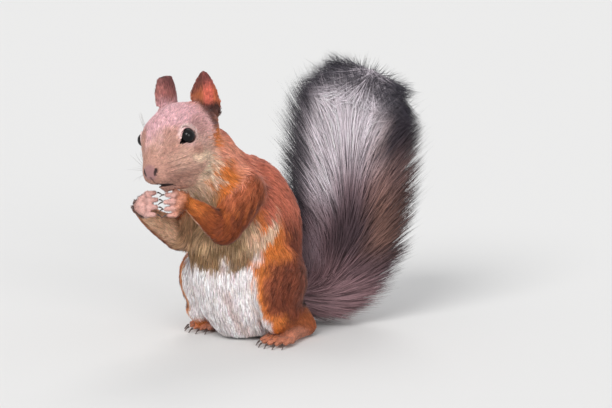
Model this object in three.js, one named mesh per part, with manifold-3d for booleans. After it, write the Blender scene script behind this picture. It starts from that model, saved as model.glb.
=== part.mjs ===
// A red squirrel sitting up on its haunches, life size, as a still model.
// Millimetres, +Z up. The animal faces -Y and its left side is +X. The floor is z = 0.
// The solids reach out to the tips of the coat, so the fur is inside these outlines.

import * as THREE from "three";
import { mergeVertices } from "three/addons/utils/BufferGeometryUtils.js";
import Module from "manifold-3d";

const wasm = await Module();
wasm.setup();

// ---------- driving sizes ----------

const GAP = 0.4; // clear space where two parts meet
const FLOOR = 0; // level of the soles, the seat and the lowest hairs of the tail
const BLEND = 5; // how softly the masses of the head run into each other

const EYE_RADIUS = 4.7;
const EYE_SPREAD = 15.1; // from the midline to the middle of an eyeball

const HEAD = {
  at: [2.4, -59.5, 129], // the point midway between the eyes
  turn: 11, // degrees to the animal's left
  nod: 8, // degrees nose down
  tilt: 10, // degrees to the animal's right
};

const EAR = {
  root: [14, 20, 1],
  height: 30,
  width: 17.8,
  cup: 5, // how deep the shell is hollowed
  wall: 1.7,
  lean: { left: 9, right: -2 }, // degrees outwards
  rake: 9, // degrees backwards
  facing: { left: 36, right: 95 }, // degrees that the opening turns out from straight ahead
  // shares of the width from root to tip
  breadths: { left: [1, 1.1, 1.1, 0.93, 0.66, 0.22], right: [0.96, 1.03, 1.07, 1.06, 0.98, 0.66] },
};

const FINGER = { length: 10, radius: 1.9, spacing: 4.05, count: 4 };
const TOE = { length: 15, radius: 2.3, spacing: 3.7, count: 5 };
const FINGER_CLAW = { length: 3.4, radius: 0.8 };
const TOE_CLAW = { length: 4.2, radius: 0.9 };

// ---------- colours ----------

const COAT = {
  red: 0x9c5238,
  orange: 0xb56a35,
  face: 0xb08468,
  mauve: 0x8f7680,
  dark: 0x4d4048,
  skin: 0xc08a72,
  eye: 0x0b0a0c,
  claw: 0x2e2628,
};

function furry(color) {
  return new THREE.MeshStandardMaterial({ color, roughness: 0.9, metalness: 0 });
}

function glossy(color) {
  return new THREE.MeshStandardMaterial({ color, roughness: 0.15, metalness: 0 });
}

// ---------- solids from geometry ----------

/** The manifold solid of a closed geometry. */
function solidOf(geometry) {
  const bare = geometry.clone();
  bare.deleteAttribute("normal");
  bare.deleteAttribute("uv");
  const merged = mergeVertices(bare, 1e-4);
  return new wasm.Manifold(
    new wasm.Mesh({
      numProp: 3,
      vertProperties: merged.attributes.position.array,
      triVerts: new Uint32Array(merged.index.array),
    }),
  );
}

/** A flat-shaded geometry of the largest body of a manifold solid. */
function geometryOf(solid) {
  const bodies = solid.decompose();
  const whole = bodies.reduce((a, b) => (b.volume() > a.volume() ? b : a));
  const mesh = whole.getMesh();
  const positions = new THREE.BufferAttribute(new Float32Array(mesh.vertProperties), 3);
  const geometry = new THREE.BufferGeometry().setAttribute("position", positions);
  geometry.setIndex(new THREE.BufferAttribute(new Uint32Array(mesh.triVerts), 1));
  geometry.computeVertexNormals();
  return geometry;
}

/** A closed skin over rings of equal length, each ring a list of points, with a point at each end. */
function closedRings(rings, startPoint, endPoint) {
  const sides = rings[0].length;
  const points = [startPoint, ...rings.flat(), endPoint];
  const last = points.length - 1;
  const at = (ring, side) => 1 + ring * sides + (side % sides);
  const faces = [];
  for (let side = 0; side < sides; side++) {
    faces.push(0, at(0, side + 1), at(0, side));
    for (let ring = 0; ring < rings.length - 1; ring++) {
      const corner = at(ring, side);
      const across = at(ring + 1, side + 1);
      faces.push(corner, at(ring, side + 1), across);
      faces.push(corner, across, at(ring + 1, side));
    }
    faces.push(last, at(rings.length - 1, side), at(rings.length - 1, side + 1));
  }
  const geometry = new THREE.BufferGeometry().setFromPoints(points);
  geometry.setIndex(faces);
  return geometry;
}

/**
 * A limb, trunk or tail: oval rings along a smooth line through the stations.
 * Each station gives where the middle is, and half the width and depth there.
 * `across` is the direction of the width. An end is a dome, or flat where its dome is 0.
 */
function limb(stations, shape) {
  const { rings, sides, across = [1, 0, 0], domes = [1, 1], domeSteps = 2, grow = 0 } = shape;
  const line = new THREE.CatmullRomCurve3(stations.map((s) => new THREE.Vector3(...s.at)));
  const sizes = new THREE.CatmullRomCurve3(
    stations.map((s) => new THREE.Vector3(s.wide + grow, s.deep + grow, 0)),
  );
  const made = [];
  const ringAt = (t, push, shrink) => {
    const middle = line.getPoint(t);
    const along = line.getTangent(t);
    const wide = new THREE.Vector3(...across);
    wide.addScaledVector(along, -wide.dot(along)).normalize();
    const deep = new THREE.Vector3().crossVectors(along, wide);
    const size = sizes.getPoint(t);
    middle.addScaledVector(along, push);
    return Array.from({ length: sides }, (_, i) => {
      const angle = (2 * Math.PI * i) / sides;
      return middle
        .clone()
        .addScaledVector(wide, Math.cos(angle) * size.x * shrink)
        .addScaledVector(deep, Math.sin(angle) * size.y * shrink);
    });
  };
  const domeOf = (station, k) => domes[k] && domes[k] * Math.min(station.wide, station.deep) + grow;
  const startDome = domeOf(stations[0], 0);
  const endDome = domeOf(stations[stations.length - 1], 1);
  for (let i = 1; i < domeSteps && startDome > 0; i++) {
    const angle = (Math.PI / 2) * (1 - i / domeSteps);
    made.push(ringAt(0, -startDome * Math.sin(angle), Math.cos(angle)));
  }
  for (let i = 0; i <= rings; i++) {
    made.push(ringAt(i / rings, 0, 1));
  }
  for (let i = domeSteps - 1; i > 0 && endDome > 0; i--) {
    const angle = (Math.PI / 2) * (1 - i / domeSteps);
    made.push(ringAt(1, endDome * Math.sin(angle), Math.cos(angle)));
  }
  const startPoint = line.getPoint(0).addScaledVector(line.getTangent(0), -startDome);
  const endPoint = line.getPoint(1).addScaledVector(line.getTangent(1), endDome);
  return closedRings(made, startPoint, endPoint);
}

/** How far a point lies outside an ellipsoid, as a near distance. */
function outside(point, mass) {
  const p = [0, 1, 2].map((k) => point.getComponent(k) - mass.at[k]);
  const near = Math.hypot(...p.map((v, k) => v / mass.radii[k]));
  const slope = Math.hypot(...p.map((v, k) => v / mass.radii[k] ** 2));
  return slope === 0 ? -Math.min(...mass.radii) : (near * (near - 1)) / slope;
}

/** The distance to several ellipsoids run softly into one. */
function blended(point, masses) {
  return masses.map((mass) => outside(point, mass)).reduce((a, b) => {
    const mix = Math.max(BLEND - Math.abs(a - b), 0) / BLEND;
    return Math.min(a, b) - (mix * mix * BLEND) / 4;
  });
}

/** A ball drawn in on to blended masses, seen from one inner point. */
function moulded(masses, centre, detail, grow = 0) {
  const ball = new THREE.IcosahedronGeometry(1, detail);
  ball.deleteAttribute("normal");
  ball.deleteAttribute("uv");
  const geometry = mergeVertices(ball, 1e-4);
  const position = geometry.attributes.position;
  const middle = new THREE.Vector3(...centre);
  const point = new THREE.Vector3();
  for (let i = 0; i < position.count; i++) {
    const ray = new THREE.Vector3().fromBufferAttribute(position, i).normalize();
    let near = 0;
    let far = 70;
    for (let step = 0; step < 22; step++) {
      const half = (near + far) / 2;
      point.copy(middle).addScaledVector(ray, half);
      if (blended(point, masses) < grow) near = half;
      else far = half;
    }
    position.setXYZ(i, point.x, point.y, point.z);
  }
  return geometry;
}

// ---------- trunk, neck and tail ----------

const TRUNK = [
  { at: [0, 19, 6], wide: 20, deep: 22 }, // seat
  { at: [0, 10, 23], wide: 27, deep: 34 }, // hips
  { at: [0, 6.5, 45], wide: 30, deep: 39.5 }, // belly
  { at: [0, 7.5, 66], wide: 29.5, deep: 39.5 }, // ribs
  { at: [0, 4, 83], wide: 26.5, deep: 32.5 }, // chest
  { at: [0, -4, 97], wide: 22, deep: 24 }, // shoulders
];

const NECK = [
  { at: [0, -6, 93], wide: 23, deep: 23 },
  { at: [0.5, -22, 103], wide: 22, deep: 23 },
  { at: [1.5, -33, 117], wide: 20, deep: 23 },
];

const TAIL_TURN = 22; // degrees that the flat of the tail is turned to the animal's left
const TAIL_CUTS = [FLOOR, 54, 112, 400]; // heights that part the tail into its lengths
const TAIL = [
  { at: [0, 32, 20], wide: 14, deep: 12 }, // root
  { at: [0.5, 48, 14], wide: 18, deep: 14 },
  { at: [3, 64, 15], wide: 27, deep: 16 },
  { at: [7, 78, 30], wide: 36, deep: 18 },
  { at: [9.5, 85, 56], wide: 42, deep: 20 },
  { at: [9, 86, 86], wide: 45, deep: 21 },
  { at: [9, 87, 114], wide: 46, deep: 21 },
  { at: [11, 92, 135], wide: 45, deep: 18 },
  { at: [13, 98, 146], wide: 37, deep: 13 },
  { at: [13.5, 102, 152], wide: 22, deep: 7 }, // tip
];

// ---------- head ----------

const HEAD_MASSES = [
  { at: [0, 15, 2], radii: [17.2, 18.5, 15] }, // cranium
  { at: [0, 2, 1.5], radii: [16.3, 14, 12.5] }, // forehead
  { at: [0, 24, -4], radii: [15, 13, 14] }, // nape
  { at: [0, 3, -5], radii: [18.2, 14.5, 13] }, // middle of the face
  { at: [0, -6, -7.5], radii: [11.5, 12, 10.5] }, // root of the muzzle
  { at: [0, -12.5, -11], radii: [7.6, 9.6, 8] }, // bridge of the muzzle
  { at: [0, -20.3, -14.6], radii: [4.2, 4.2, 3.4] }, // nose
  ...[1, -1].flatMap((side) => [
    { at: [10.2 * side, 5, -14], radii: [10.4, 14, 11.5] }, // cheek
    { at: [10 * side, 25, -3], radii: [9, 9, 12] }, // behind the ear
    { at: [4.4 * side, -12.8, -17.6], radii: [6.2, 9.6, 6.8] }, // whisker pad
  ]),
];

const JAW_MASSES = [
  { at: [0, -9, -24.4], radii: [5.6, 8.5, 5.2] }, // chin
  { at: [0, 8, -21], radii: [13, 16, 12] }, // throat side of the jaw
];

// ---------- limbs, for the left and the right side ----------

const ARMS = {
  left: { shoulder: [18, -7, 96], elbow: [24, -33, 72], wrist: [13, -53, 91.5], tips: [9, -65.5, 91] },
  right: { shoulder: [-18, -7, 96], elbow: [-21, -26, 62], wrist: [-18, -63, 84], tips: [-5.5, -61.5, 89] },
};

const LEGS = {
  left: { thigh: [25.5, 3, 36], knee: [29, -6, 34], calf: [31, -1, 18], ball: [32, 8, 4.2] },
  right: { thigh: [24.5, -1, 34], knee: [28, -12, 32], calf: [28, -8, 16], ball: [27, 6, 4.2] },
};
const LEG = {
  hip: [16, 24, 33],
  haunch: [21, 13, 35],
  shin: [27, 18, 18],
  heel: [27, 35, 5.5],
  instep: [29, 20, 5],
};
const CUTTER = 400; // size of the blocks that cut at the floor and through the tail, larger than the animal

/** A solid with all that is below the floor cut away. */
function standing(solid) {
  const block = new THREE.BoxGeometry(CUTTER, CUTTER, CUTTER);
  block.translate(0, 0, FLOOR - CUTTER / 2);
  return solid.subtract(solidOf(block));
}

/** A point between two others, moved by an offset. */
function between(a, b, share, offset = [0, 0, 0]) {
  return a.map((v, k) => v + (b[k] - v) * share + offset[k]);
}

/** The direction from one point to another, and how far. */
function heading(a, b) {
  const line = new THREE.Vector3(...b).sub(new THREE.Vector3(...a));
  return { length: line.length(), direction: line.normalize() };
}

/** The head's own frame as a matrix: middle of the eyes, turned, nodded and tilted. */
function headFrame() {
  const degrees = THREE.MathUtils.degToRad;
  const angles = new THREE.Euler(degrees(HEAD.nod), degrees(-HEAD.tilt), degrees(HEAD.turn), "ZYX");
  const turned = new THREE.Matrix4().makeRotationFromEuler(angles);
  return turned.setPosition(...HEAD.at);
}

/** An ear: a hollowed leaf, as crescent rings up its height, in the ear's own frame. */
function earShell(word) {
  const steps = 7;
  const arcPoints = 7;
  const breadth = new THREE.CatmullRomCurve3(
    EAR.breadths[word].map((v) => new THREE.Vector3(v, 0, 0)),
  );
  const rings = [];
  for (let i = 0; i <= steps; i++) {
    const t = i / steps;
    const half = (EAR.width / 2) * breadth.getPoint(t).x;
    const hollow = EAR.cup * (1 - t * t * 0.85);
    const wall = EAR.wall * (1 - 0.35 * t);
    const arcOf = (depth, from, to, inset, forward) =>
      Array.from({ length: arcPoints }, (_, k) => {
        const angle = from + ((to - from) * k) / (arcPoints - 1);
        const x = (half - inset) * Math.cos(angle);
        return new THREE.Vector3(x, depth * Math.sin(angle) + t * t * 3 - forward, t * EAR.height);
      });
    const back = arcOf(hollow + wall, 0, Math.PI, 0, 0);
    const front = arcOf(hollow, Math.PI - 0.1, 0.1, wall * 0.35, wall * 0.5);
    rings.push([...back, ...front]);
  }
  const foot = new THREE.Vector3(0, EAR.cup * 0.8, -1);
  const tip = new THREE.Vector3(0, 4, EAR.height + 1.2);
  return closedRings(rings, foot, tip);
}

/** The ear of one side, placed in the head's frame. */
function earOf(word, side) {
  const degrees = THREE.MathUtils.degToRad;
  const geometry = earShell(word);
  const turn = degrees(EAR.facing[word] * side);
  geometry.applyMatrix4(new THREE.Matrix4().makeRotationZ(turn));
  const lean = new THREE.Euler(degrees(-EAR.rake), degrees(EAR.lean[word] * side), 0, "XYZ");
  geometry.applyMatrix4(new THREE.Matrix4().makeRotationFromEuler(lean));
  const [x, y, z] = EAR.root;
  return geometry.translate(x * side, y, z);
}

/** A claw: a thin curved cone from a fingertip along its way and down. */
function clawAt(tip, direction, size, across) {
  const bend = new THREE.Vector3(0, 0, -0.45 * size.length);
  const start = tip.clone().addScaledVector(direction, GAP);
  const middle = tip.clone().addScaledVector(direction, size.length * 0.45);
  const end = tip.clone().addScaledVector(direction, size.length).add(bend);
  const stations = [
    { at: start.toArray(), wide: size.radius * 0.9, deep: size.radius },
    { at: middle.toArray(), wide: size.radius * 0.75, deep: size.radius * 0.85 },
    { at: end.toArray(), wide: 0.28, deep: 0.28 },
  ];
  return limb(stations, { rings: 2, sides: 4, domes: [0, 0], across });
}

/**
 * The digits of a hand or foot: fanned from the root towards the tips, each bent at its middle joint.
 * `arch` lifts the middle joint towards the back of the hand, `back`, and `fan` spreads the tips.
 */
function digitsOf(root, tips, across, kind, { arch, fan, back }) {
  const { direction } = heading(root, tips);
  const side = new THREE.Vector3(...across);
  side.addScaledVector(direction, -side.dot(direction)).normalize();
  const up = new THREE.Vector3().crossVectors(side, direction);
  if (up.dot(new THREE.Vector3(...back)) < 0) up.negate();
  return Array.from({ length: kind.count }, (_, i) => {
    const place = i - (kind.count - 1) / 2;
    const short = 1 - 0.07 * place * place;
    const start = new THREE.Vector3(...root).addScaledVector(side, place * kind.spacing);
    const way = direction.clone().addScaledVector(side, place * fan).normalize();
    const knuckle = start.clone().addScaledVector(way, kind.length * 0.5 * short);
    knuckle.addScaledVector(up, arch);
    const tip = start.clone().addScaledVector(way, kind.length * short);
    const r = kind.radius;
    const stations = [
      { at: start.toArray(), wide: r * 1.1, deep: r * 1.1 },
      { at: knuckle.toArray(), wide: r, deep: r },
      { at: tip.toArray(), wide: r * 0.78, deep: r * 0.78 },
    ];
    return { stations, tip, end: tip.clone().sub(knuckle).normalize() };
  });
}

/** A finger or toe through its stations. */
function digitAlong(stations, across) {
  return limb(stations, { rings: 2, sides: 6, domes: [0, 0], across });
}

/** Stations of equal shape along named points, from radii of width and depth. */
function stationsOf(...rows) {
  return rows.map(([at, wide, deep]) => ({ at, wide, deep }));
}

const solids = new Map(); // every part's solid by name, in the order of cutting
const looks = new Map(); // every part's material by name

/** Keeps a part, less the space of the parts that it meets. */
function keep(name, solid, material, neighbours = []) {
  const clear = neighbours.reduce((rest, other) => rest.subtract(other), solid);
  solids.set(name, clear);
  looks.set(name, material);
}

/** A limb as a solid, and the same one grown by the gap for cutting its neighbours. */
function pair(stations, shape) {
  return {
    own: solidOf(limb(stations, shape)),
    room: solidOf(limb(stations, { ...shape, grow: GAP })),
  };
}

// trunk
const trunk = pair(TRUNK, { rings: 9, sides: 18, domes: [0.35, 0.55] });
keep("trunk", standing(trunk.own), furry(COAT.red));

// head, jaw, eyes and ears, all in the head's frame and then placed
const inHead = headFrame();
const placed = (geometry) => solidOf(geometry.applyMatrix4(inHead));
const HEAD_CENTRE = [0, 3, -4];
const JAW_CENTRE = [0, 0, -21];
const HEAD_DETAIL = 6;
const eyeBall = (side, radius) =>
  new THREE.IcosahedronGeometry(radius, 2).translate(EYE_SPREAD * side, 0, 0);
const eyeRooms = [1, -1].map((side) => placed(eyeBall(side, EYE_RADIUS + GAP)));
const headOwn = placed(moulded(HEAD_MASSES, HEAD_CENTRE, HEAD_DETAIL));
const headRoom = placed(moulded(HEAD_MASSES, HEAD_CENTRE, HEAD_DETAIL, GAP));
keep("head", headOwn, furry(COAT.face), eyeRooms);
const jawOwn = placed(moulded(JAW_MASSES, JAW_CENTRE, 3));
const jawRoom = placed(moulded(JAW_MASSES, JAW_CENTRE, 3, GAP));
keep("lower_jaw", jawOwn, furry(COAT.face), [headRoom]);
for (const [word, side] of [["left", 1], ["right", -1]]) {
  keep(`eye_${word}`, placed(eyeBall(side, EYE_RADIUS)), glossy(COAT.eye));
  keep(`ear_${word}`, placed(earOf(word, side)), furry(COAT.face), [headRoom]);
}

// neck
const neck = pair(NECK, { rings: 3, sides: 12, domes: [0.3, 0.5] });
keep("neck", neck.own, furry(COAT.orange), [trunk.room, headRoom, jawRoom]);
const torso = [trunk.room, neck.room];

/** An arm: upper arm, forearm, hand and claws, each clear of the one above it. */
function makeArm(word) {
  const { shoulder, elbow, wrist, tips } = ARMS[word];
  const outwards = word === "left" ? 1 : -1;
  const upper = pair(
    stationsOf(
      [shoulder, 12, 15],
      [between(shoulder, elbow, 0.5, [0, -1, 0]), 11, 14],
      [elbow, 9, 10.5],
    ),
    { rings: 4, sides: 12, domes: [0.8, 0.9] },
  );
  keep(`upper_arm_${word}`, upper.own, furry(COAT.red), [...torso, headRoom, jawRoom]);
  const lower = pair(
    stationsOf(
      [elbow, 9.5, 10.5],
      [between(elbow, wrist, 0.45, [outwards, 0, 0]), 7.8, 9],
      [wrist, 5, 5.8],
    ),
    { rings: 4, sides: 12, domes: [0.9, 0.6] },
  );
  keep(`forearm_${word}`, lower.own, furry(COAT.orange), [upper.room, ...torso, jawRoom]);
  const root = between(wrist, tips, 0.42, [0, 0, 1]);
  const across = [0.25 * outwards, 0.3, 1];
  const palm = limb(
    stationsOf(
      [wrist, 4.6, 4.2],
      [between(wrist, root, 0.6, [outwards, -1, 0]), 6.6, 5],
      [root, 7.4, 3.8],
    ),
    { rings: 3, sides: 10, domes: [0.7, 0.5], domeSteps: 1, across },
  );
  const digits = digitsOf(root, tips, across, FINGER, { arch: 3, fan: 0.04, back: [outwards, -1, 0] });
  const fingers = digits.map((d) => solidOf(digitAlong(d.stations, across)));
  const hand = fingers.reduce((all, one) => all.add(one), solidOf(palm));
  const claws = digits.map((d) => solidOf(clawAt(d.tip, d.end, FINGER_CLAW, across)));
  keep(`hand_${word}`, hand, furry(COAT.skin), [lower.room, jawRoom]);
  claws.forEach((claw, i) => keep(`hand_claw_${word}_${i + 1}`, claw, glossy(COAT.claw)));
}

/** A hind leg: thigh, shank, foot and claws, each clear of the one above it. */
function makeLeg(word) {
  const side = word === "left" ? 1 : -1;
  const places = { ...LEG, ...LEGS[word] };
  const at = (name) => [places[name][0] * side, places[name][1], places[name][2]];
  const thigh = pair(
    stationsOf([at("hip"), 16, 20], [at("haunch"), 17.5, 26], [at("thigh"), 14, 24], [at("knee"), 10, 19]),
    { rings: 6, sides: 14, domes: [0.8, 0.9] },
  );
  keep(`thigh_${word}`, standing(thigh.own), furry(COAT.orange), torso);
  const shank = pair(
    stationsOf([at("calf"), 8.5, 12], [at("shin"), 8, 10], [at("heel"), 5.5, 5.5]),
    { rings: 4, sides: 10, domes: [0.8, 0.8] },
  );
  keep(`shank_${word}`, standing(shank.own), furry(COAT.orange), [thigh.room, ...torso]);
  const foot = limb(
    stationsOf([at("heel"), 5, 6], [at("instep"), 6, 5.4], [at("ball"), 8, 4.6]),
    { rings: 4, sides: 8, domes: [0.9, 0.5] },
  );
  const ball = at("ball");
  const toeTips = [ball[0] + 2 * side, ball[1] - 20, 2.2];
  const toeRoot = [ball[0], ball[1] - 1, 3];
  const across = [1, 0, 0];
  const digits = digitsOf(toeRoot, toeTips, across, TOE, { arch: 1.4, fan: 0.09, back: [0, 0, 1] });
  const toes = digits.map((d) => solidOf(digitAlong(d.stations, across)));
  const whole = toes.reduce((all, one) => all.add(one), solidOf(foot));
  const claws = digits.map((d) => solidOf(clawAt(d.tip, d.end, TOE_CLAW, across)));
  keep(`foot_${word}`, standing(whole), furry(COAT.skin), [
    shank.room,
    thigh.room,
    ...torso,
  ]);
  claws.forEach((claw, i) => keep(`foot_claw_${word}_${i + 1}`, standing(claw), glossy(COAT.claw)));
}

["left", "right"].forEach(makeArm);
["left", "right"].forEach(makeLeg);

/** The tail: one plume along its line, parted into lengths by thin cuts. */
function makeTail() {
  const turn = THREE.MathUtils.degToRad(TAIL_TURN);
  const across = [Math.cos(turn), Math.sin(turn), 0];
  const names = ["tail_base", "tail_middle", "tail_tip"];
  const plume = solidOf(limb(TAIL, { rings: 14, sides: 14, across, domes: [0.4, 0.9] }));
  const slab = (low, high) => {
    const block = new THREE.BoxGeometry(CUTTER, CUTTER, high - low);
    return solidOf(block.translate(0, 0, (low + high) / 2));
  };
  names.forEach((name, i) => {
    const piece = plume.intersect(slab(TAIL_CUTS[i] + (i ? GAP : 0), TAIL_CUTS[i + 1]));
    keep(name, piece, furry(COAT.mauve), [trunk.room]);
  });
}

makeTail();

// ---------- the group, with its origin on the floor under the middle of its box ----------

const squirrel = new THREE.Group();
for (const [name, solid] of solids) {
  const mesh = new THREE.Mesh(geometryOf(solid), looks.get(name));
  mesh.name = name;
  squirrel.add(mesh);
}
const box = new THREE.Box3().setFromObject(squirrel);
const middle = box.getCenter(new THREE.Vector3());
for (const mesh of squirrel.children) {
  mesh.position.set(-middle.x, -middle.y, -box.min.z);
}

export default squirrel;
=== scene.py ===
"""A red squirrel sitting up on its haunches, life size.

One skin, a coat of tufts, a tail plume, eyes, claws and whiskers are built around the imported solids.
Shapes are worked out in millimetres and become metres when a mesh is made.
"""

import logging
import math
from dataclasses import dataclass, field
from enum import Enum, auto
from typing import ClassVar, Iterator

import bmesh
import bpy
import numpy as np
import openvdb
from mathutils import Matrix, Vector
from mathutils.kdtree import KDTree


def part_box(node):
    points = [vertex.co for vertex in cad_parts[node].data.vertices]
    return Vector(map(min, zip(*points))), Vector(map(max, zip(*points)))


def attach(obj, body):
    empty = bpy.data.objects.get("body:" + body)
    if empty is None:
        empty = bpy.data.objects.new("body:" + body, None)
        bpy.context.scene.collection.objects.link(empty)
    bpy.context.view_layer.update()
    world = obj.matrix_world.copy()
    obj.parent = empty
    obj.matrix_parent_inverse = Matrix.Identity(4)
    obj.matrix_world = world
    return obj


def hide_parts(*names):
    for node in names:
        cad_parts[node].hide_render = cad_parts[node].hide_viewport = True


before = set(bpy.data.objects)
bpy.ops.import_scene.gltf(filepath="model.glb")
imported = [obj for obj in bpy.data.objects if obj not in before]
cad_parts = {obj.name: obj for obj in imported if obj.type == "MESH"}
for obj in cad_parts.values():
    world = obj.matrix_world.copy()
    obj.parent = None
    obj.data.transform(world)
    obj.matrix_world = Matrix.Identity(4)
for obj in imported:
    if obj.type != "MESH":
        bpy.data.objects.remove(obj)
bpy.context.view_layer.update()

log = logging.getLogger("squirrel")

MM = 0.001  # metres in a millimetre
COAT = "coat"  # name of the colour attribute that the skin and the tufts share
BAKE_MAP = "OFBake"
SEED = 20
KERNEL_REACH = 2.5  # how many sigmas of a blur are kept
SURFACE_BAND = 2.5  # how many steps of distance a surface is drawn from
LAST_CELL = 1.001  # what keeps a sample inside the last cell of a grid
SIDES = {1: "left", -1: "right"}

Array = np.ndarray
Pair = tuple[float, float]
Place = tuple[float, float, float]
Object = bpy.types.Object
Socket = bpy.types.NodeSocket
Material = bpy.types.Material
Chance = np.random.Generator
Columns = list[Array] | Array  # the x, y and z of points, each apart


# ---------- small helpers ----------


def linear(*shade: int) -> Array:
    """A colour in linear light, from its red, green and blue as shown, from 0 to 255."""
    share = np.array(shade, float) / 255
    return np.where(share <= 0.04045, share / 12.92, ((share + 0.055) / 1.055) ** 2.4)


def ramp(value: Array, low: float, high: float) -> Array:
    """Shares that rise smoothly from 0 at low to 1 at high, which may be the lower of the two."""
    t = np.clip((value - low) / (high - low), 0, 1)
    return t * t * (3 - 2 * t)


def unit(vectors: Array) -> Array:
    """The vectors at length one."""
    return vectors / np.maximum(np.linalg.norm(vectors, axis=-1, keepdims=True), 1e-9)


def tinted(colours: Array, shade: Array, share: Array) -> Array:
    """Colours, one a row, moved towards a shade by a share for each row."""
    return colours + (shade - colours) * share[:, None]


def flattened(vectors: Array, normals: Array) -> Array:
    """Directions laid down on the surfaces that the unit normals stand on."""
    return unit(vectors - normals * np.sum(vectors * normals, axis=-1, keepdims=True))


def blended(a: Array, b: Array, soft: float) -> Array:
    """Distances to two shapes that run into one another, over a reach of soft millimetres."""
    mix = np.maximum(soft - np.abs(a - b), 0) / soft
    return np.minimum(a, b) - mix * mix * soft / 4


def carved(a: Array, tool: Array, soft: float) -> Array:
    """A shape with another cut out of it, with soft edges."""
    return -blended(-a, tool, soft)


def spike_gap(own: Columns, start: Array, end: Array, wide: float = 0.0, narrow: float = 0.0) -> Array:
    """Distances to a round spike, or to the straight line between two points.

    Args:
        own: The x, y and z of the points to measure.
        start: The middle of its thick end.
        end: Its thin end.
        wide: Radius at the thick end.
        narrow: Radius at the thin end.

    Returns:
        The distances, below zero inside it.
    """
    way = end - start
    t = np.clip(sum((p - s) * w for p, s, w in zip(own, start, way)) / (way @ way), 0, 1)
    gap = np.sqrt(sum((p - s - t * w) ** 2 for p, s, w in zip(own, start, way)))
    return gap - wide - (narrow - wide) * t


@dataclass(frozen=True)
class Ripple:
    """Smooth noise: a sum of waves in random directions.

    Attributes:
        scale: Wavelength in millimetres.
        seed: The seed of its directions.
        waves: How many waves are added up.
    """

    scale: float
    seed: int
    waves: int = 12

    def at(self, points: Array) -> Array:
        """The noise at some points, mostly between -1 and 1."""
        rng = np.random.default_rng(self.seed)
        ways = unit(rng.normal(size=(self.waves, 3))) * rng.uniform(0.6, 1.6, (self.waves, 1))
        phases = rng.uniform(0, 2 * math.pi, self.waves)
        waves = np.sin(points @ ways.T * (2 * math.pi / self.scale) + phases)
        return waves.sum(axis=1) / math.sqrt(self.waves)

    def vectors(self, points: Array) -> Array:
        """Three such noises as a vector at each point."""
        return np.stack([Ripple(self.scale, self.seed + k, self.waves).at(points) for k in (1, 2, 3)], 1)


class Line:
    """A smooth line through stations, each x, y, z and then any sizes there."""

    def __init__(self, stations: Array, steps: int = 10) -> None:
        """Samples the line.

        Args:
            stations: One station a row.
            steps: Samples between two stations.
        """
        rows = np.array(stations, float)
        ends = np.concatenate([2 * rows[:1] - rows[1:2], rows, 2 * rows[-1:] - rows[-2:-1]])
        t = np.arange(steps)[:, None] / steps
        spans = []
        for a, b, c, d in zip(ends, ends[1:], ends[2:], ends[3:]):
            square, cube = 2 * a - 5 * b + 4 * c - d, 3 * b - a - 3 * c + d
            spans.append(0.5 * (2 * b + (c - a) * t + square * t**2 + cube * t**3))
        samples = np.concatenate([*spans, rows[-1:]])
        self.points = samples[:, :3]
        self.sizes = samples[:, 3:]
        self.ways = unit(np.gradient(self.points, axis=0))
        gaps = np.linalg.norm(np.diff(self.points, axis=0), axis=1)
        self.lengths = np.concatenate([[0], np.cumsum(gaps)])

    def nearest(self, points: Array) -> Array:
        """The number of the nearest sample to each point."""
        gaps = (points**2).sum(1)[:, None] - 2 * points @ self.points.T + (self.points**2).sum(1)
        return gaps.argmin(axis=1)

    def at(self, lengths: Array) -> tuple[Array, Array, Array]:
        """Where the line is at some lengths along it.

        Args:
            lengths: Millimetres from the start.

        Returns:
            The points, the directions and the sizes there.
        """
        kept = (self.points, self.ways, self.sizes)
        points, ways, sizes = (self._mixed(values, lengths) for values in kept)
        return points, unit(ways), sizes

    def _mixed(self, values: Array, lengths: Array) -> Array:
        """Values of the samples, mixed to suit some lengths along the line."""
        return np.stack([np.interp(lengths, self.lengths, column) for column in values.T], axis=-1)


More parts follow.
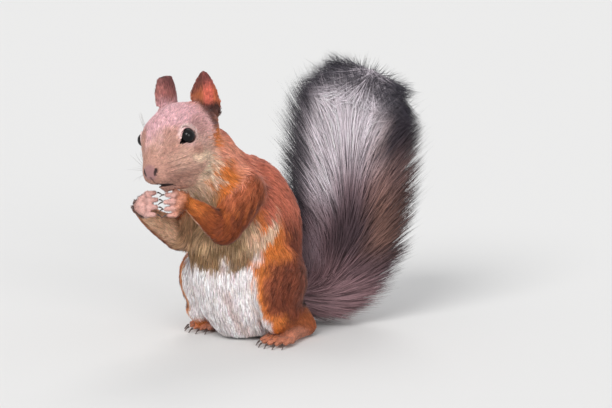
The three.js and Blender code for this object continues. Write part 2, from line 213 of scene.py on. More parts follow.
@dataclass
class DistanceGrid:
    """Signed distances to a closed surface on a regular grid: negative inside, in millimetres.

    Attributes:
        values: The distances, one at each grid point.
        corner: The index of the first grid point.
        voxel: The step of the grid.
    """

    values: Array
    corner: Array
    voxel: float

    @classmethod
    def of_surface(
        cls, points: Array, faces: Array, voxel: float, reach: float, box: Array | None = None
    ) -> "DistanceGrid":
        """Measures a closed surface.

        Args:
            points: Its vertices.
            faces: Its triangles or quads.
            voxel: The step of the grid.
            reach: How far the distances go on either side.
            box: The lowest and highest corner to cover, or the surface's own with the reach around it.

        Returns:
            The grid.
        """
        kind = {"triangles" if faces.shape[1] == 3 else "quads": faces.astype(np.uint32)}
        made = openvdb.FloatGrid.createLevelSetFromPolygons(
            points.astype(np.float32),
            transform=openvdb.createLinearTransform(voxelSize=voxel),
            halfWidth=reach / voxel,
            **kind,
        )
        if box is None:
            box = np.array([points.min(0) - reach, points.max(0) + reach])
        corner = np.floor(box[0] / voxel).astype(int)
        size = np.ceil(box[1] / voxel).astype(int) - corner + 1
        values = np.empty(tuple(size), np.float32)
        made.copyToArray(values, ijk=tuple(int(i) for i in corner))
        return cls(values, corner, voxel)

    def axes(self) -> list[Array]:
        """The coordinates of the grid points along each axis."""
        return [(self.corner[k] + np.arange(self.values.shape[k])) * self.voxel for k in range(3)]

    def sample(self, points: Array) -> Array:
        """The distance at each point; a point outside the grid takes the value at its edge.

        Args:
            points: The points to measure.

        Returns:
            The distances, one a point.
        """
        size = np.array(self.values.shape)
        place = np.clip(points / self.voxel - self.corner, 0, size - LAST_CELL)
        low = place.astype(int)
        share = place - low
        total = np.zeros(len(points))
        flat = self.values.ravel()
        steps = np.array([size[1] * size[2], size[2], 1])
        base = low @ steps
        for corner in np.ndindex(2, 2, 2):
            weight = np.prod(np.where(corner, share, 1 - share), axis=1)
            total += weight * flat[base + np.array(corner) @ steps]
        return total

    def normals(self, points: Array) -> Array:
        """The direction straight away from the surface at each point."""
        steps = np.eye(3) * self.voxel
        return unit(np.stack([self.sample(points + s) - self.sample(points - s) for s in steps], axis=1))

    def window(self, box: Array) -> tuple[tuple[slice, ...], list[Array]]:
        """The part of the grid in a box.

        Args:
            box: The lowest and highest corner.

        Returns:
            The slices of the values, and the points' x, y and z as open arrays.
        """
        low = np.clip(np.floor(box[0] / self.voxel).astype(int) - self.corner, 0, None)
        high = np.ceil(box[1] / self.voxel).astype(int) - self.corner + 1
        cut = tuple(slice(a, min(b, n)) for a, b, n in zip(low, high, self.values.shape))
        places = [axis[s] for axis, s in zip(self.axes(), cut)]
        return cut, list(np.meshgrid(*places, indexing="ij", sparse=True))

    def softened(self, sigma: float) -> Array:
        """The values blurred evenly over sigma millimetres.

        Args:
            sigma: How widely they are blurred, in millimetres.

        Returns:
            The blurred values.
        """
        spread = sigma / self.voxel
        reach = int(KERNEL_REACH * spread) + 1
        kernel = np.exp(-0.5 * (np.arange(-reach, reach + 1) / spread) ** 2)
        kernel = (kernel / kernel.sum()).astype(np.float32)
        values = self.values
        for axis in range(3):
            pads = [(reach, reach) if a == axis else (0, 0) for a in range(3)]
            padded = np.pad(values, pads, mode="edge")
            count = values.shape[axis]
            values = np.zeros_like(values)
            for i, weight in enumerate(kernel):
                moved = tuple(slice(i, i + count) if a == axis else slice(None) for a in range(3))
                values += weight * padded[moved]
        return values

    def surface(self, adaptivity: float) -> tuple[Array, Array, Array]:
        """The surface at distance zero.

        Args:
            adaptivity: How freely flat places are made of larger faces.

        Returns:
            The points, triangles and quads.
        """
        reach = SURFACE_BAND * self.voxel
        made = openvdb.FloatGrid(reach)
        made.transform = openvdb.createLinearTransform(voxelSize=self.voxel)
        values = np.clip(self.values, -reach, reach).astype(np.float32)
        made.copyFromArray(values, ijk=tuple(int(i) for i in self.corner), tolerance=1e-4)
        return made.convertToPolygons(0.0, adaptivity)


def gathered(items: bpy.types.bpy_prop_collection, name: str, width: int, kind: type = np.float32) -> Array:
    """One property of all the items of a mesh's list.

    Args:
        items: The vertices, loops or triangles.
        name: The property.
        width: How many numbers each item holds.
        kind: The numbers' type.

    Returns:
        One item a row.
    """
    values = np.empty(len(items) * width, kind)
    items.foreach_get(name, values)
    return values.reshape(-1, width)


def node_mesh(names: tuple[str, ...]) -> tuple[Array, Array]:
    """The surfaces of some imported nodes.

    Args:
        names: The nodes.

    Returns:
        Their points in millimetres and their triangles.
    """
    points, triangles, count = [], [], 0
    for name in names:
        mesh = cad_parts[name].data
        mesh.calc_loop_triangles()
        points.append(gathered(mesh.vertices, "co", 3) / MM)
        triangles.append(gathered(mesh.loop_triangles, "vertices", 3, np.int32) + count)
        count += len(points[-1])
    return np.concatenate(points), np.concatenate(triangles)


def middle_of(node: str) -> Array:
    """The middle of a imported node's box, in millimetres."""
    low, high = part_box(node)
    return (np.array(low) + np.array(high)) / 2 / MM


# ---------- the animal's plan ----------


class Kind(Enum):
    """What a part of the body is, which sets the lie of its coat and its markings."""

    HEAD = auto()
    EAR = auto()
    NECK = auto()
    TRUNK = auto()
    UPPER_ARM = auto()
    FOREARM = auto()
    HAND = auto()
    THIGH = auto()
    SHANK = auto()
    FOOT = auto()
    TAIL = auto()


@dataclass(frozen=True)
class Coat:
    """How the coat grows on one kind of part, in millimetres.

    Attributes:
        depth: How far the skin lies inside the outline.
        length: Length of a tuft.
        width: Width of a tuft.
        density: Tufts on a square millimetre.
        lift: How far the tips stand off, as a share of the depth.
        soften: How far the flesh runs together with its neighbours, from 0 to 1.
    """

    depth: float
    length: float
    width: float
    density: float
    lift: float
    soften: float


COATS = {  # depth, length, width, density, lift, soften
    Kind.HEAD: Coat(0.6, 3.4, 0.32, 5.4, 1.0, 0.5),
    Kind.EAR: Coat(0.08, 2.6, 0.32, 4.0, 7.0, 0.0),
    Kind.NECK: Coat(2.2, 7.0, 0.46, 2.15, 0.85, 1.0),
    Kind.TRUNK: Coat(2.8, 9.0, 0.54, 1.7, 0.85, 1.0),
    Kind.UPPER_ARM: Coat(2.2, 7.0, 0.46, 2.35, 0.85, 1.0),
    Kind.FOREARM: Coat(1.6, 5.5, 0.44, 2.7, 0.85, 0.9),
    Kind.HAND: Coat(0.02, 1.3, 0.3, 1.6, 8.0, 0.0),
    Kind.THIGH: Coat(2.6, 8.0, 0.50, 2.2, 0.85, 1.0),
    Kind.SHANK: Coat(1.2, 4.0, 0.42, 2.6, 0.85, 0.8),
    Kind.FOOT: Coat(0.3, 1.8, 0.36, 2.4, 0.9, 0.05),
    Kind.TAIL: Coat(0.5, 8.0, 0.60, 0.0, 0.9, 0.0),
}


@dataclass(frozen=True)
class Part:
    """One part of the body.

    Attributes:
        kind: What it is.
        nodes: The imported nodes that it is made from.
        way: The line that its hair follows, from first point to last.
    """

    kind: Kind
    nodes: tuple[str, ...]
    way: Line


@dataclass
class Head:
    """The head's own frame: x to its left, y backwards, z up, from midway between the eyes.

    Places and directions are given for the left side, and mirrored for the right.

    Attributes:
        turn: Degrees to the animal's left.
        nod: Degrees nose down.
        tilt: Degrees to the animal's right.
        nose: The tip of the nose.
        nostril: The nostril's upper end.
        nostril_end: Its lower end.
        eye_spread: How far each eyeball's middle is from the midline.
        eye_radius: Radius of an eyeball.
        eye_axis: The way the eye looks.
        eye_corner: The front corner between the lids.
        nostril_sizes: Radius of a nostril at its two ends.
        corner_sizes: Radius of the dark patch between the lids, at the eye's middle and at the corner.
        ear_root: The middle of the ear's foot.
        ear_rake: Degrees that the ears lean back.
        ear_lean: Degrees that each ear leans outwards.
        ear_facing: Degrees that each ear opens outwards from straight ahead.
        ear_height: Height of an ear from root to tip.
        ear_breadth: Half the breadth of an ear.
        growing: How far from the nose the coat starts to lengthen, and where it is full.
        origin: Where the frame stands in the model.
        axes: The frame's directions, one a column.
    """

    turn: float = 11
    nod: float = 8
    tilt: float = 10
    nose: Place = (0, -23.4, -14.4)
    nostril: Place = (4.3, -22.2, -13.2)
    nostril_end: Place = (3.4, -23.2, -15.9)
    eye_spread: float = 15.1
    eye_radius: float = 4.7
    eye_axis: Place = (0.86, -0.5, 0.1)
    eye_corner: Place = (13.2, -7.4, -3.3)
    nostril_sizes: ClassVar[Pair] = (0.85, 0.55)
    corner_sizes: ClassVar[Pair] = (4.5, 0.4)
    ear_root: Place = (14, 20, 1)
    ear_rake: float = 9
    ear_lean: ClassVar[dict[int, float]] = {1: 9, -1: -2}
    ear_facing: ClassVar[dict[int, float]] = {1: 36, -1: 95}
    ear_height: float = 30
    ear_breadth: float = 8.9
    growing: ClassVar[Pair] = (3.6, 22)
    origin: Array = field(default_factory=lambda: (middle_of("eye_left") + middle_of("eye_right")) / 2)
    axes: Array = field(init=False)

    def __post_init__(self) -> None:
        """Works out the frame's axes."""
        a, b, c = (math.radians(v) for v in (self.nod, -self.tilt, self.turn))
        nod = np.array([[1, 0, 0], [0, math.cos(a), -math.sin(a)], [0, math.sin(a), math.cos(a)]])
        tilt = np.array([[math.cos(b), 0, math.sin(b)], [0, 1, 0], [-math.sin(b), 0, math.cos(b)]])
        turn = np.array([[math.cos(c), -math.sin(c), 0], [math.sin(c), math.cos(c), 0], [0, 0, 1]])
        self.axes = turn @ tilt @ nod

    def inwards(self, points: Array) -> Array:
        """Points of the model in the head's frame."""
        return (points - self.origin) @ self.axes

    def outwards(self, points: Array) -> Array:
        """Points of the head's frame in the model."""
        return np.asarray(points) @ self.axes.T + self.origin

    def mirrored(self, place: Place, side: int) -> Array:
        """A place or direction given for the left, on one side."""
        return np.array(place) * (side, 1, 1)

    def eye(self, side: int) -> Array:
        """The middle of one eyeball."""
        return np.array((self.eye_spread * side, 0, 0))

    def from_nose(self, own: Array) -> Array:
        """How far points in the head's frame are from the tip of the nose."""
        return np.linalg.norm(own - np.array(self.nose), axis=1)

    def nostril_gap(self, own: Columns, side: int) -> Array:
        """How far points are from one nostril, given their x, y and z in the head's frame."""
        start, end = (self.mirrored(place, side) for place in (self.nostril, self.nostril_end))
        return spike_gap(own, start, end, *self.nostril_sizes)

    def corner_gap(self, own: Array, side: int) -> Array:
        """How far points in the head's frame are from the dark patch between one eye's lids."""
        return spike_gap(own.T, self.eye(side), self.mirrored(self.eye_corner, side), *self.corner_sizes)

    def ear_axes(self, side: int) -> Array:
        """One ear's own directions: outwards across it, the way it opens, and up, one a row.

        Args:
            side: 1 for the left, -1 for the right.

        Returns:
            The three directions.
        """
        angles = (self.ear_rake, self.ear_lean[side], self.ear_facing[side])
        rake, lean, turn = (math.radians(v) for v in angles)
        across, rise = math.sin(lean), math.cos(lean)
        up = np.array([side * across, rise * math.sin(rake), rise * math.cos(rake)])
        opening = flattened(np.array([side * math.sin(turn), -math.cos(turn), 0.0]), up)
        return np.stack([np.cross(up, opening) * side, opening, up])

    def thin(self, points: Array) -> Array:
        """How short the coat is: nearly bare on the nose, and short on the muzzle and round the eyes.

        Args:
            points: Points of the model.

        Returns:
            Shares of the full depth.
        """
        own = self.inwards(points)
        share = 0.08 + 0.92 * ramp(self.from_nose(own), *self.growing)
        for side in SIDES:
            gap = np.linalg.norm(own - self.eye(side), axis=1) - self.eye_radius
            share *= 0.35 + 0.65 * ramp(gap, 0.5, 4.5)
        return share


class Body:
    """The parts of the animal, with their distances and the lie of their hair.

    The lines run the way the hair lies, through places of the animal's plan in millimetres.
    """

    head_at = (2.4, -59.5, 129)  # where the plan puts the head's origin
    neck = ((1.5, -40, 120), (0.5, -22, 103), (0, -6, 93), (0, 4, 80))
    trunk = ((0, -12, 101), (0, 4, 83), (0, 7.5, 66), (0, 6.5, 45), (0, 10, 23), (0, 19, 2))
    arms = {
        1: ((18, -7, 96), (24, -33, 72), (13, -53, 91.5), (9, -65.5, 91)),
        -1: ((-18, -7, 96), (-21, -26, 62), (-18, -63, 84), (-5.5, -61.5, 89)),
    }
    legs = {
        1: ((16, 28, 54), (24, 16, 46), (29, 2, 34), (30, -6, 12)),
        -1: ((-16, 28, 54), (-24, 14, 46), (-28, -6, 32), (-28, -12, 12)),
    }
    calves = {1: (31, -4, 22), -1: (-28, -10, 20)}
    balls = {1: (32, 8, 4.2), -1: (-27, 6, 4.2)}
    heel = (27, 35, 5.5)
    toes = (0, -18, -2.2)  # from the ball of the foot
    step = 1.2  # of the grids that measure the distance to each part
    reach = 8
    blur = 1.3  # how softly one part's coat gives way to the next, in millimetres

    def __init__(self) -> None:
        """Places the parts and measures the distance to each."""
        self.head = Head()
        self.shift = self.head.origin - np.array(self.head_at)
        self.parts = list(self._parts())
        self.grids = []
        for part in self.parts:
            points, triangles = node_mesh(part.nodes)
            self.grids.append(DistanceGrid.of_surface(points, triangles, self.step, self.reach))

    def line(self, *stations: tuple[float, ...]) -> Line:
        """A line through stations of the plan."""
        rows = np.array(stations, float)
        rows[:, :3] += self.shift
        return Line(rows)

    def _parts(self) -> Iterator[Part]:
        """Names every part of flesh.

        Yields:
            The parts.
        """
        head = self.head
        forehead = Line(head.outwards([head.nose, (0, -8, 4), (0, 12, 18), (0, 34, 10)]))
        yield Part(Kind.HEAD, ("head", "lower_jaw"), forehead)
        yield Part(Kind.NECK, ("neck",), self.line(*self.neck))
        yield Part(Kind.TRUNK, ("trunk",), self.line(*self.trunk))
        yield Part(Kind.TAIL, ("tail_base", "tail_middle", "tail_tip"), self.line(*TailPlume.core_places()))
        for side, word in SIDES.items():
            root = head.mirrored(head.ear_root, side)
            tip = root + head.ear_axes(side)[2] * head.ear_height
            yield Part(Kind.EAR, (f"ear_{word}",), Line(head.outwards([root, (root + tip) / 2, tip])))
            shoulder, elbow, wrist, tips = self.arms[side]
            yield Part(Kind.UPPER_ARM, (f"upper_arm_{word}",), self.line(shoulder, elbow))
            yield Part(Kind.FOREARM, (f"forearm_{word}",), self.line(elbow, wrist))
            yield Part(Kind.HAND, (f"hand_{word}",), self.line(wrist, tips))
            yield Part(Kind.THIGH, (f"thigh_{word}",), self.line(*self.legs[side]))
            ball = self.balls[side]
            yield Part(Kind.SHANK, (f"shank_{word}",), self.line(self.calves[side], ball))
            foot = self.line(head.mirrored(self.heel, side), ball, np.add(ball, self.toes))
            yield Part(Kind.FOOT, (f"foot_{word}",), foot)

    @property
    def tail(self) -> Line:
        """The line of the thin tail, with its radius along it."""
        return next(part.way for part in self.parts if part.kind is Kind.TAIL)

    def shares(self, points: Array) -> Array:
        """How far each point belongs to each part.

        Args:
            points: Points near the skin.

        Returns:
            One row a point, one column a part; a row adds up to 1.
        """
        gaps = np.stack([grid.sample(points) for grid in self.grids], axis=1)
        pull = np.exp(-(gaps - gaps.min(axis=1, keepdims=True)) / self.blur)
        return pull / pull.sum(axis=1, keepdims=True)

    def of_kind(self, shares: Array, kind: Kind) -> Array:
        """The share of one kind of part, over both sides."""
        return shares[:, [part.kind is kind for part in self.parts]].sum(axis=1)

    def depth(self, points: Array, shares: Array) -> Array:
        """How deep the skin lies under the outline at each point."""
        thin = self.head.thin(points)
        head = self.of_kind(shares, Kind.HEAD)
        return self.measure(shares, "depth") * (1 + head * (thin - 1))

    def softness(self, points: Array, shares: Array) -> Array:
        """How far the flesh runs together at each point; the head does so most at the neck."""
        behind = ramp(self.head.inwards(points)[:, 1], 4, 18)
        return self.measure(shares, "soften") + 0.5 * behind * self.of_kind(shares, Kind.HEAD)

    def measure(self, shares: Array, name: str) -> Array:
        """A measure of the coat, mixed from the parts' own."""
        return shares @ np.array([getattr(COATS[part.kind], name) for part in self.parts])

    def lie(self, points: Array, normals: Array, shares: Array) -> Array:
        """The direction in which the hair lies.

        Args:
            points: Points on the skin.
            normals: The skin's normals there.
            shares: Their parts.

        Returns:
            Unit vectors along the skin.
        """
        total = np.zeros_like(points)
        for column, part in enumerate(self.parts):
            if part.kind is Kind.HEAD:
                way = self._over_the_head(points)
            else:
                way = part.way.ways[part.way.nearest(points)]
            total += way * shares[:, column : column + 1]
        return flattened(total, normals)

    def _over_the_head(self, points: Array) -> Array:
        """The lie of the hair on the head: away from the nose and back over the cheeks and crown.

        Args:
            points: Points on the skin.

        Returns:
            Unit directions in the model.
        """
        own = self.head.inwards(points)
        way = unit(own - np.array(self.head.nose)) + np.array([0, 0.7, 0.0])
        way[:, 2] -= 0.5 * ramp(own[:, 1], 8, 24)
        return unit(way) @ self.head.axes.T


# ---------- the skin ----------


@dataclass
class Flesh:
    """The whole body's skin as one surface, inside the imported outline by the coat's depth.

    Attributes:
        body: The animal's parts.
        voxel: Step of the distance grid.
        reach: How far its distances go on either side of the outline.
        margin: Room round the animal in the grid.
        close: How far parts grow to close the cuts between them.
        round_over: How far the parts run together where they are soft.
        coarse: Step of the grid on which the coat's depth is worked out.
        tail_join: How softly the thin tail runs into the trunk.
        core_room: Room that the thin tail is worked out in, below and above its line.
        adaptivity: How freely flat places are made of larger faces.
    """

    body: Body
    voxel: float = 0.6
    reach: float = 6
    margin: float = 4
    close: float = 0.35
    round_over: float = 2.6
    coarse: float = 2.4
    tail_join: float = 3.0
    core_room: Pair = (12, 6)
    adaptivity: float = 0.02

    def grid(self) -> DistanceGrid:
        """Builds the skin as a distance grid.

        Returns:
            The grid.
        """
        names = tuple(n for part in self.body.parts if part.kind is not Kind.TAIL for n in part.nodes)
        points, triangles = node_mesh(names)
        loose = DistanceGrid.of_surface(points, triangles, self.voxel, 3 * self.voxel)
        loose.values -= self.close
        points, _, quads = loose.surface(0)
        tail = self.body.tail.points
        low = np.minimum(points.min(0), tail.min(0)) - self.margin
        high = np.maximum(points.max(0), tail.max(0)) + self.margin
        made = DistanceGrid.of_surface(points, quads, self.voxel, self.reach, np.array([low, high]))
        depth, soften = self._spread(low, high, made)
        made.values += soften * (made.softened(self.round_over) - made.values)
        made.values += depth + self.close
        self._tail_core(made)
        FaceWork(self.body.head).carve(made)
        return made

    def _spread(self, low: Array, high: Array, like: DistanceGrid) -> tuple[Array, Array]:
        """The coat's depth and softness at every grid point, from a coarser grid.

        Args:
            low: The lowest corner to cover.
            high: The highest.
            like: The grid to match.

        Returns:
            The depths and the softness.
        """
        axes = [np.arange(a, b + self.coarse, self.coarse) for a, b in zip(low, high)]
        places = np.stack(np.meshgrid(*axes, indexing="ij"), axis=-1).reshape(-1, 3)
        shares = self.body.shares(places)
        fields = []
        for values in (self.body.depth(places, shares), self.body.softness(places, shares)):
            values = values.reshape([len(a) for a in axes]).astype(np.float32)
            for k, (old, new) in enumerate(zip(axes, like.axes())):
                place = np.clip((new - old[0]) / self.coarse, 0, len(old) - LAST_CELL)
                start = place.astype(int)
                share = (place - start).astype(np.float32)
                share = share.reshape([-1 if a == k else 1 for a in range(3)])
                values = np.take(values, start, k) * (1 - share) + np.take(values, start + 1, k) * share
            fields.append(values)
        return fields[0], fields[1]

    def _tail_core(self, made: DistanceGrid) -> None:
        """Adds the thin tail inside the plume."""
        line = self.body.tail
        below, above = self.core_room
        cut, (x, y, z) = made.window(np.array([line.points.min(0) - below, line.points.max(0) + above]))
        nearest = np.full(made.values[cut].shape, np.inf, np.float32)
        for (px, py, pz), radius in zip(line.points, line.sizes[:, 0]):
            gap = np.sqrt((x - px) ** 2 + (y - py) ** 2 + (z - pz) ** 2) - radius
            nearest = np.minimum(nearest, gap)
        made.values[cut] = blended(made.values[cut], nearest, self.tail_join)


@dataclass
class FaceWork:
    """The folds of the face: eye sockets with lids, nostrils and the mouth, a little open.

    Attributes:
        head: The head's frame.
        room: How far round the head's origin the work reaches.
        lid_ring: Radius of the opening between the lids.
        lid: Radius of a lid's rim.
        slack: Clear space between the eyeball and the lids.
        lip: Height of the middle of the mouth's opening where the lips meet in front.
        front: How far forward the lips meet.
        corner: How far back the mouth's corners are.
        slope: How far the mouth's line falls for each millimetre backwards.
        gape: Half the height of the opening, in front and at the corners.
        inside: How deep the opening is, in front and at the corners.
        ear_hollow_ends: The upper and lower end of the painted shade of the ear's opening in front of an
            ear's root, on the left.
        ear_hollow_sizes: How far that painted shade spreads at its two ends.
    """

    head: Head
    room: float = 36
    lid_ring: float = 4.4
    lid: float = 0.5
    slack: float = 0.1
    lip: ClassVar[float] = -22.9
    front: ClassVar[float] = -20.5
    corner: ClassVar[float] = -9.6
    slope: ClassVar[float] = 0.24
    gape: ClassVar[Pair] = (0.95, 0.3)
    inside: ClassVar[Pair] = (2.6, 0.9)
    ear_hollow_ends: ClassVar[tuple[Place, ...]] = ((15.8, 23.5, 10), (18.8, 22.5, 0))
    ear_hollow_sizes: ClassVar[Pair] = (4.8, 1.6)

    @classmethod
    def opening(cls, own: Columns) -> tuple[Array, Array]:
        """How far points lie above or below the mouth's opening, and how deep it is there.

        Args:
            own: The x, y and z of points in the head's frame.

        Returns:
            The distances, below zero in the opening, and the depths.
        """
        back = ramp(own[1], cls.front + 3, cls.corner)
        middle = cls.lip - cls.slope * (own[1] - cls.front) - 0.05 * np.abs(own[0])
        height = cls.gape[0] + (cls.gape[1] - cls.gape[0]) * back
        gap = np.maximum(np.abs(own[2] - middle) - height, own[1] - cls.corner)
        return gap, cls.inside[0] + (cls.inside[1] - cls.inside[0]) * back

    @classmethod
    def groove(cls, own: Columns) -> Array:
        """How far points lie from the groove that joins the nose to the lip."""
        tall = np.maximum(own[2] + 17.4, cls.lip + 0.5 - own[2])
        return np.maximum(np.maximum(np.abs(own[0]) - 0.3, tall), own[1] + 14)

    def ear_hollow_gap(self, own: Columns, side: int) -> Array:
        """How far points lie from the painted shade of the opening in front of one ear's root."""
        start, end = (self.head.mirrored(place, side) for place in self.ear_hollow_ends)
        return spike_gap(own, start, end, *self.ear_hollow_sizes)

    def carve(self, made: DistanceGrid) -> None:
        """Works the face into the skin's distance grid."""
        centre = self.head.origin
        cut, places = made.window(np.array([centre - self.room, centre + self.room]))
        away = [place - middle for place, middle in zip(places, centre)]
        own = [sum(v * c for v, c in zip(away, axis)) for axis in self.head.axes.T]
        values = made.values[cut]
        for side in SIDES:
            values = self._eye(values, own, side)
            values = self._nostril(values, own, side)
        gap, deep = self.opening(own)
        values = carved(values, np.maximum(gap, -(values + deep)), 0.7)
        made.values[cut] = carved(values, np.maximum(self.groove(own), -(values + 0.6)), 0.6)

    def _eye(self, values: Array, own: list[Array], side: int) -> Array:
        """Sinks one socket, raises its lids and draws their opening out to the front corner.

        Args:
            values: Distances to the skin.
            own: The grid points in the head's frame.
            side: 1 for the left, -1 for the right.

        Returns:
            The new distances.
        """
        head = self.head
        axis = unit(head.mirrored(head.eye_axis, side))
        place = [own[0] - head.eye_spread * side, own[1], own[2]]
        far = np.sqrt(sum(p**2 for p in place))
        along = sum(p * a for p, a in zip(place, axis))
        around = np.sqrt(np.maximum(far**2 - along**2, 0))
        front = math.sqrt(head.eye_radius**2 - self.lid_ring**2)
        ring = np.sqrt((around - self.lid_ring - 0.2) ** 2 + (along - front - 0.05) ** 2) - self.lid
        values = blended(values, ring, 2.4)
        centre, corner = head.eye(side), head.mirrored(head.eye_corner, side)
        inner = centre + unit(corner - centre) * (head.eye_radius - 1.2)
        values = carved(values, spike_gap(own, inner, corner, 2.6, 0.25), 0.4)
        return np.maximum(values, -(far - head.eye_radius - self.slack))

    def _nostril(self, values: Array, own: list[Array], side: int) -> Array:
        """Cuts one nostril, a short comma."""
        return carved(values, self.head.nostril_gap(own, side), 0.5)


# ---------- markings ----------


class Palette:
    """The colours of the coat and the bare skin, and of the shade and light painted over them."""

    back = linear(198, 110, 86)
    # Dark red-brown of the rump, thighs and shanks, also painted as shade low on the back.
    rump = linear(130, 66, 46)
    # Dark red-brown of streaks on the shoulders and thighs, also painted as shade in the crease above each
    # thigh.
    groove = linear(104, 52, 36)
    orange = linear(214, 120, 54)
    # Dark orange of streaks on the neck and limbs, also painted as shade under the forearms.
    ember_and_shade = linear(142, 68, 32)
    cream = linear(240, 206, 178)
    belly = linear(252, 240, 240)
    # Painted shade in the folds between the belly and the thighs.
    fold_shade = linear(176, 146, 136)
    # Pale peach of the forearms' inner side, made lighter as painted light.
    lit_peach = linear(255, 206, 172)
    chest = linear(206, 168, 130)
    # Painted shadow under the bib's lower edge.
    bib_shadow = linear(136, 104, 70)
    nape = linear(226, 148, 122)
    cheek = linear(206, 162, 144)
    crown = linear(226, 176, 180)
    shade = linear(164, 116, 102)
    snout = linear(190, 142, 126)
    nose = linear(156, 114, 112)
    ring = linear(252, 226, 216)
    lid = linear(46, 34, 34)
    # Nearly black, painted as shade in the nostrils, the groove under the nose and the mouth's opening.
    lip = linear(46, 30, 30)
    ear_back = linear(176, 110, 104)
    ear_tip = linear(112, 64, 66)
    ear_inside = linear(232, 118, 98)
    ear_rim = linear(186, 104, 66)
    # Painted shade of the ears' canals and openings.
    canal_shade = linear(62, 38, 36)
    hand = linear(214, 142, 112)
    fingers = linear(228, 178, 168)
    foot = linear(196, 124, 96)
    tail_skin = linear(110, 84, 90)


class Markings:
    """The one pattern of colour that the skin and every tuft share.

    Each painter takes points, the normals there and a wobble that makes edges uneven, one a row, and
    gives back linear colours. The bounds of the ramps are millimetres of the plan or of the head's
    frame, degrees round the trunk or a limb from straight ahead, shares of an ear, or parts of a normal.
    """

    tones = Palette
    girth = (32, 40)  # half the trunk's width and depth
    middles = ((6, 19), (23, 10), (45, 6.5), (66, 7.5), (83, 4), (97, -4))  # its height, and its middle's y

    def __init__(self, body: Body) -> None:
        """Keeps the body that the pattern is laid out on."""
        self.body = body

    def colours(self, points: Array, normals: Array, shares: Array) -> Array:
        """The colour at each point of the skin.

        Args:
            points: Points on the skin.
            normals: The skin's normals there.
            shares: How far they belong to each part.

        Returns:
            Linear colours, one a row.
        """
        wobble = Ripple(14, 3).at(points)
        painters = {
            Kind.HEAD: self._head_and_neck,
            Kind.EAR: self._ear,
            Kind.NECK: self._head_and_neck,
            Kind.TRUNK: self._trunk,
            Kind.UPPER_ARM: self._upper_arm,
            Kind.FOREARM: self._forearm,
            Kind.HAND: self._hand,
            Kind.THIGH: self._thigh,
            Kind.SHANK: self._shank,
            Kind.FOOT: self._foot,
            Kind.TAIL: self._tail,
        }
        total = np.zeros_like(points)
        for kind, paint in painters.items():
            share = self.body.of_kind(shares, kind)
            near = share > 0.002
            if near.any():
                total[near] += paint(points[near], normals[near], wobble[near]) * share[near, None]
        return total

    def _flat(self, points: Array, tone: Array) -> Array:
        """One tone over all the points."""
        return np.tile(tone, (len(points), 1))

    def _head_and_neck(self, points: Array, normals: Array, wobble: Array) -> Array:
        """The head's colours, which give way to the neck's behind the cheeks."""
        own = self.body.head.inwards(points)
        y, z = own[:, 1], own[:, 2]
        behind = y - 0.6 * np.maximum(z + 4, 0) + 0.4 * np.maximum(-18 - z, 0) + 3 * wobble
        behind = behind + 3 * Ripple(4, 17).at(points * (1, 1, 2))
        out = tinted(self._head(own, wobble), self._neck(points, normals, wobble), ramp(behind, 17, 25))
        for side in SIDES:
            # Painted shade of each ear's opening, in front of its root.
            hair = FaceWork(self.body.head).ear_hollow_gap(own.T, side)
            out = tinted(out, self.tones.canal_shade, 0.85 * ramp(hair + wobble, 2.0, -1.5))
        return out

    def _head(self, own: Array, wobble: Array) -> Array:
        """Pink-grey crown, beige cheeks and a cream jaw."""
        tones = self.tones
        y, z = own[:, 1], own[:, 2]
        out = self._flat(own, tones.cheek)
        out = tinted(out, tones.crown, ramp(z + 0.12 * y + 2 * wobble, -10, 7))
        out = tinted(out, tones.snout, 0.5 * ramp(y + wobble * 2, 12, 24) * ramp(z, -10, 2))
        out = tinted(out, tones.shade, 0.7 * ramp(z + wobble, -16, -20) * ramp(y, 4, -8))
        out = tinted(out, tones.cream, 0.9 * ramp(z + wobble, -13, -19) * ramp(y, 3, 9))
        return self._face(out, own, wobble)

    def _face(self, out: Array, own: Array, wobble: Array) -> Array:
        """Adds the muzzle, the eyes' surrounds, the nose and the mouth to the head's ground colours, with
        painted shade in the nostrils, the groove under the nose and the mouth's opening.
        """
        tones, head = self.tones, self.body.head
        y, z, from_nose = own[:, 1], own[:, 2], head.from_nose(own)
        for side in SIDES:
            start, end = np.array(((18.3 * side, -2.5, -13.5), (21 * side, 20, -17)))
            out = tinted(out, tones.cream, 0.85 * ramp(spike_gap(own.T, start, end) + wobble, 4.4, 1.2))
            under = np.linalg.norm((own - np.array((19 * side, -1, -8.5))) * (1, 0.6, 1.2), axis=1)
            out = tinted(out, tones.shade, 0.8 * ramp(under + wobble, 5.5, 2.0))
            temple = np.linalg.norm((own - np.array((15.0 * side, 10, 3))) * (1, 0.8, 1), axis=1)
            out = tinted(out, tones.shade, 0.45 * ramp(temple + wobble, 9.0, 3.0))
        out = tinted(out, tones.snout, 0.9 * ramp(from_nose + wobble * 1.5, 17, 8))
        brow = ramp(np.abs(np.abs(own[:, 0]) - 9), 5, 2) * ramp(y, 2, -4) * ramp(z, -12, -4)
        out = tinted(out, tones.snout, 0.9 * brow * ramp(z, 9, 4))
        out = tinted(out, tones.nose, ramp(from_nose, 5.4, 3.8))
        for side in SIDES:
            gap = np.linalg.norm((own - head.eye(side)) * (1, 0.92, 1), axis=1) - head.eye_radius
            ring = ramp(gap, 0.5, 0.9) * ramp(gap, 2.4, 1.3) * ramp(z, -6, 0)
            out = tinted(out, tones.ring, 0.6 * ring)
            lids = np.maximum(ramp(gap, 0.55, 0.25), ramp(head.corner_gap(own, side), 0.4, 0.0))
            out = tinted(out, tones.lid, lids)
            # Painted shade in each carved nostril.
            out = tinted(out, tones.lip, ramp(head.nostril_gap(own.T, side), 0.35, 0.05))
        # Painted shade in the groove under the nose and in the mouth's opening.
        out = tinted(out, tones.lip, 0.6 * ramp(FaceWork.groove(own.T), 0.5, 0.0))
        return tinted(out, tones.lip, 0.95 * ramp(FaceWork.opening(own.T)[0], 0.45, 0.05))

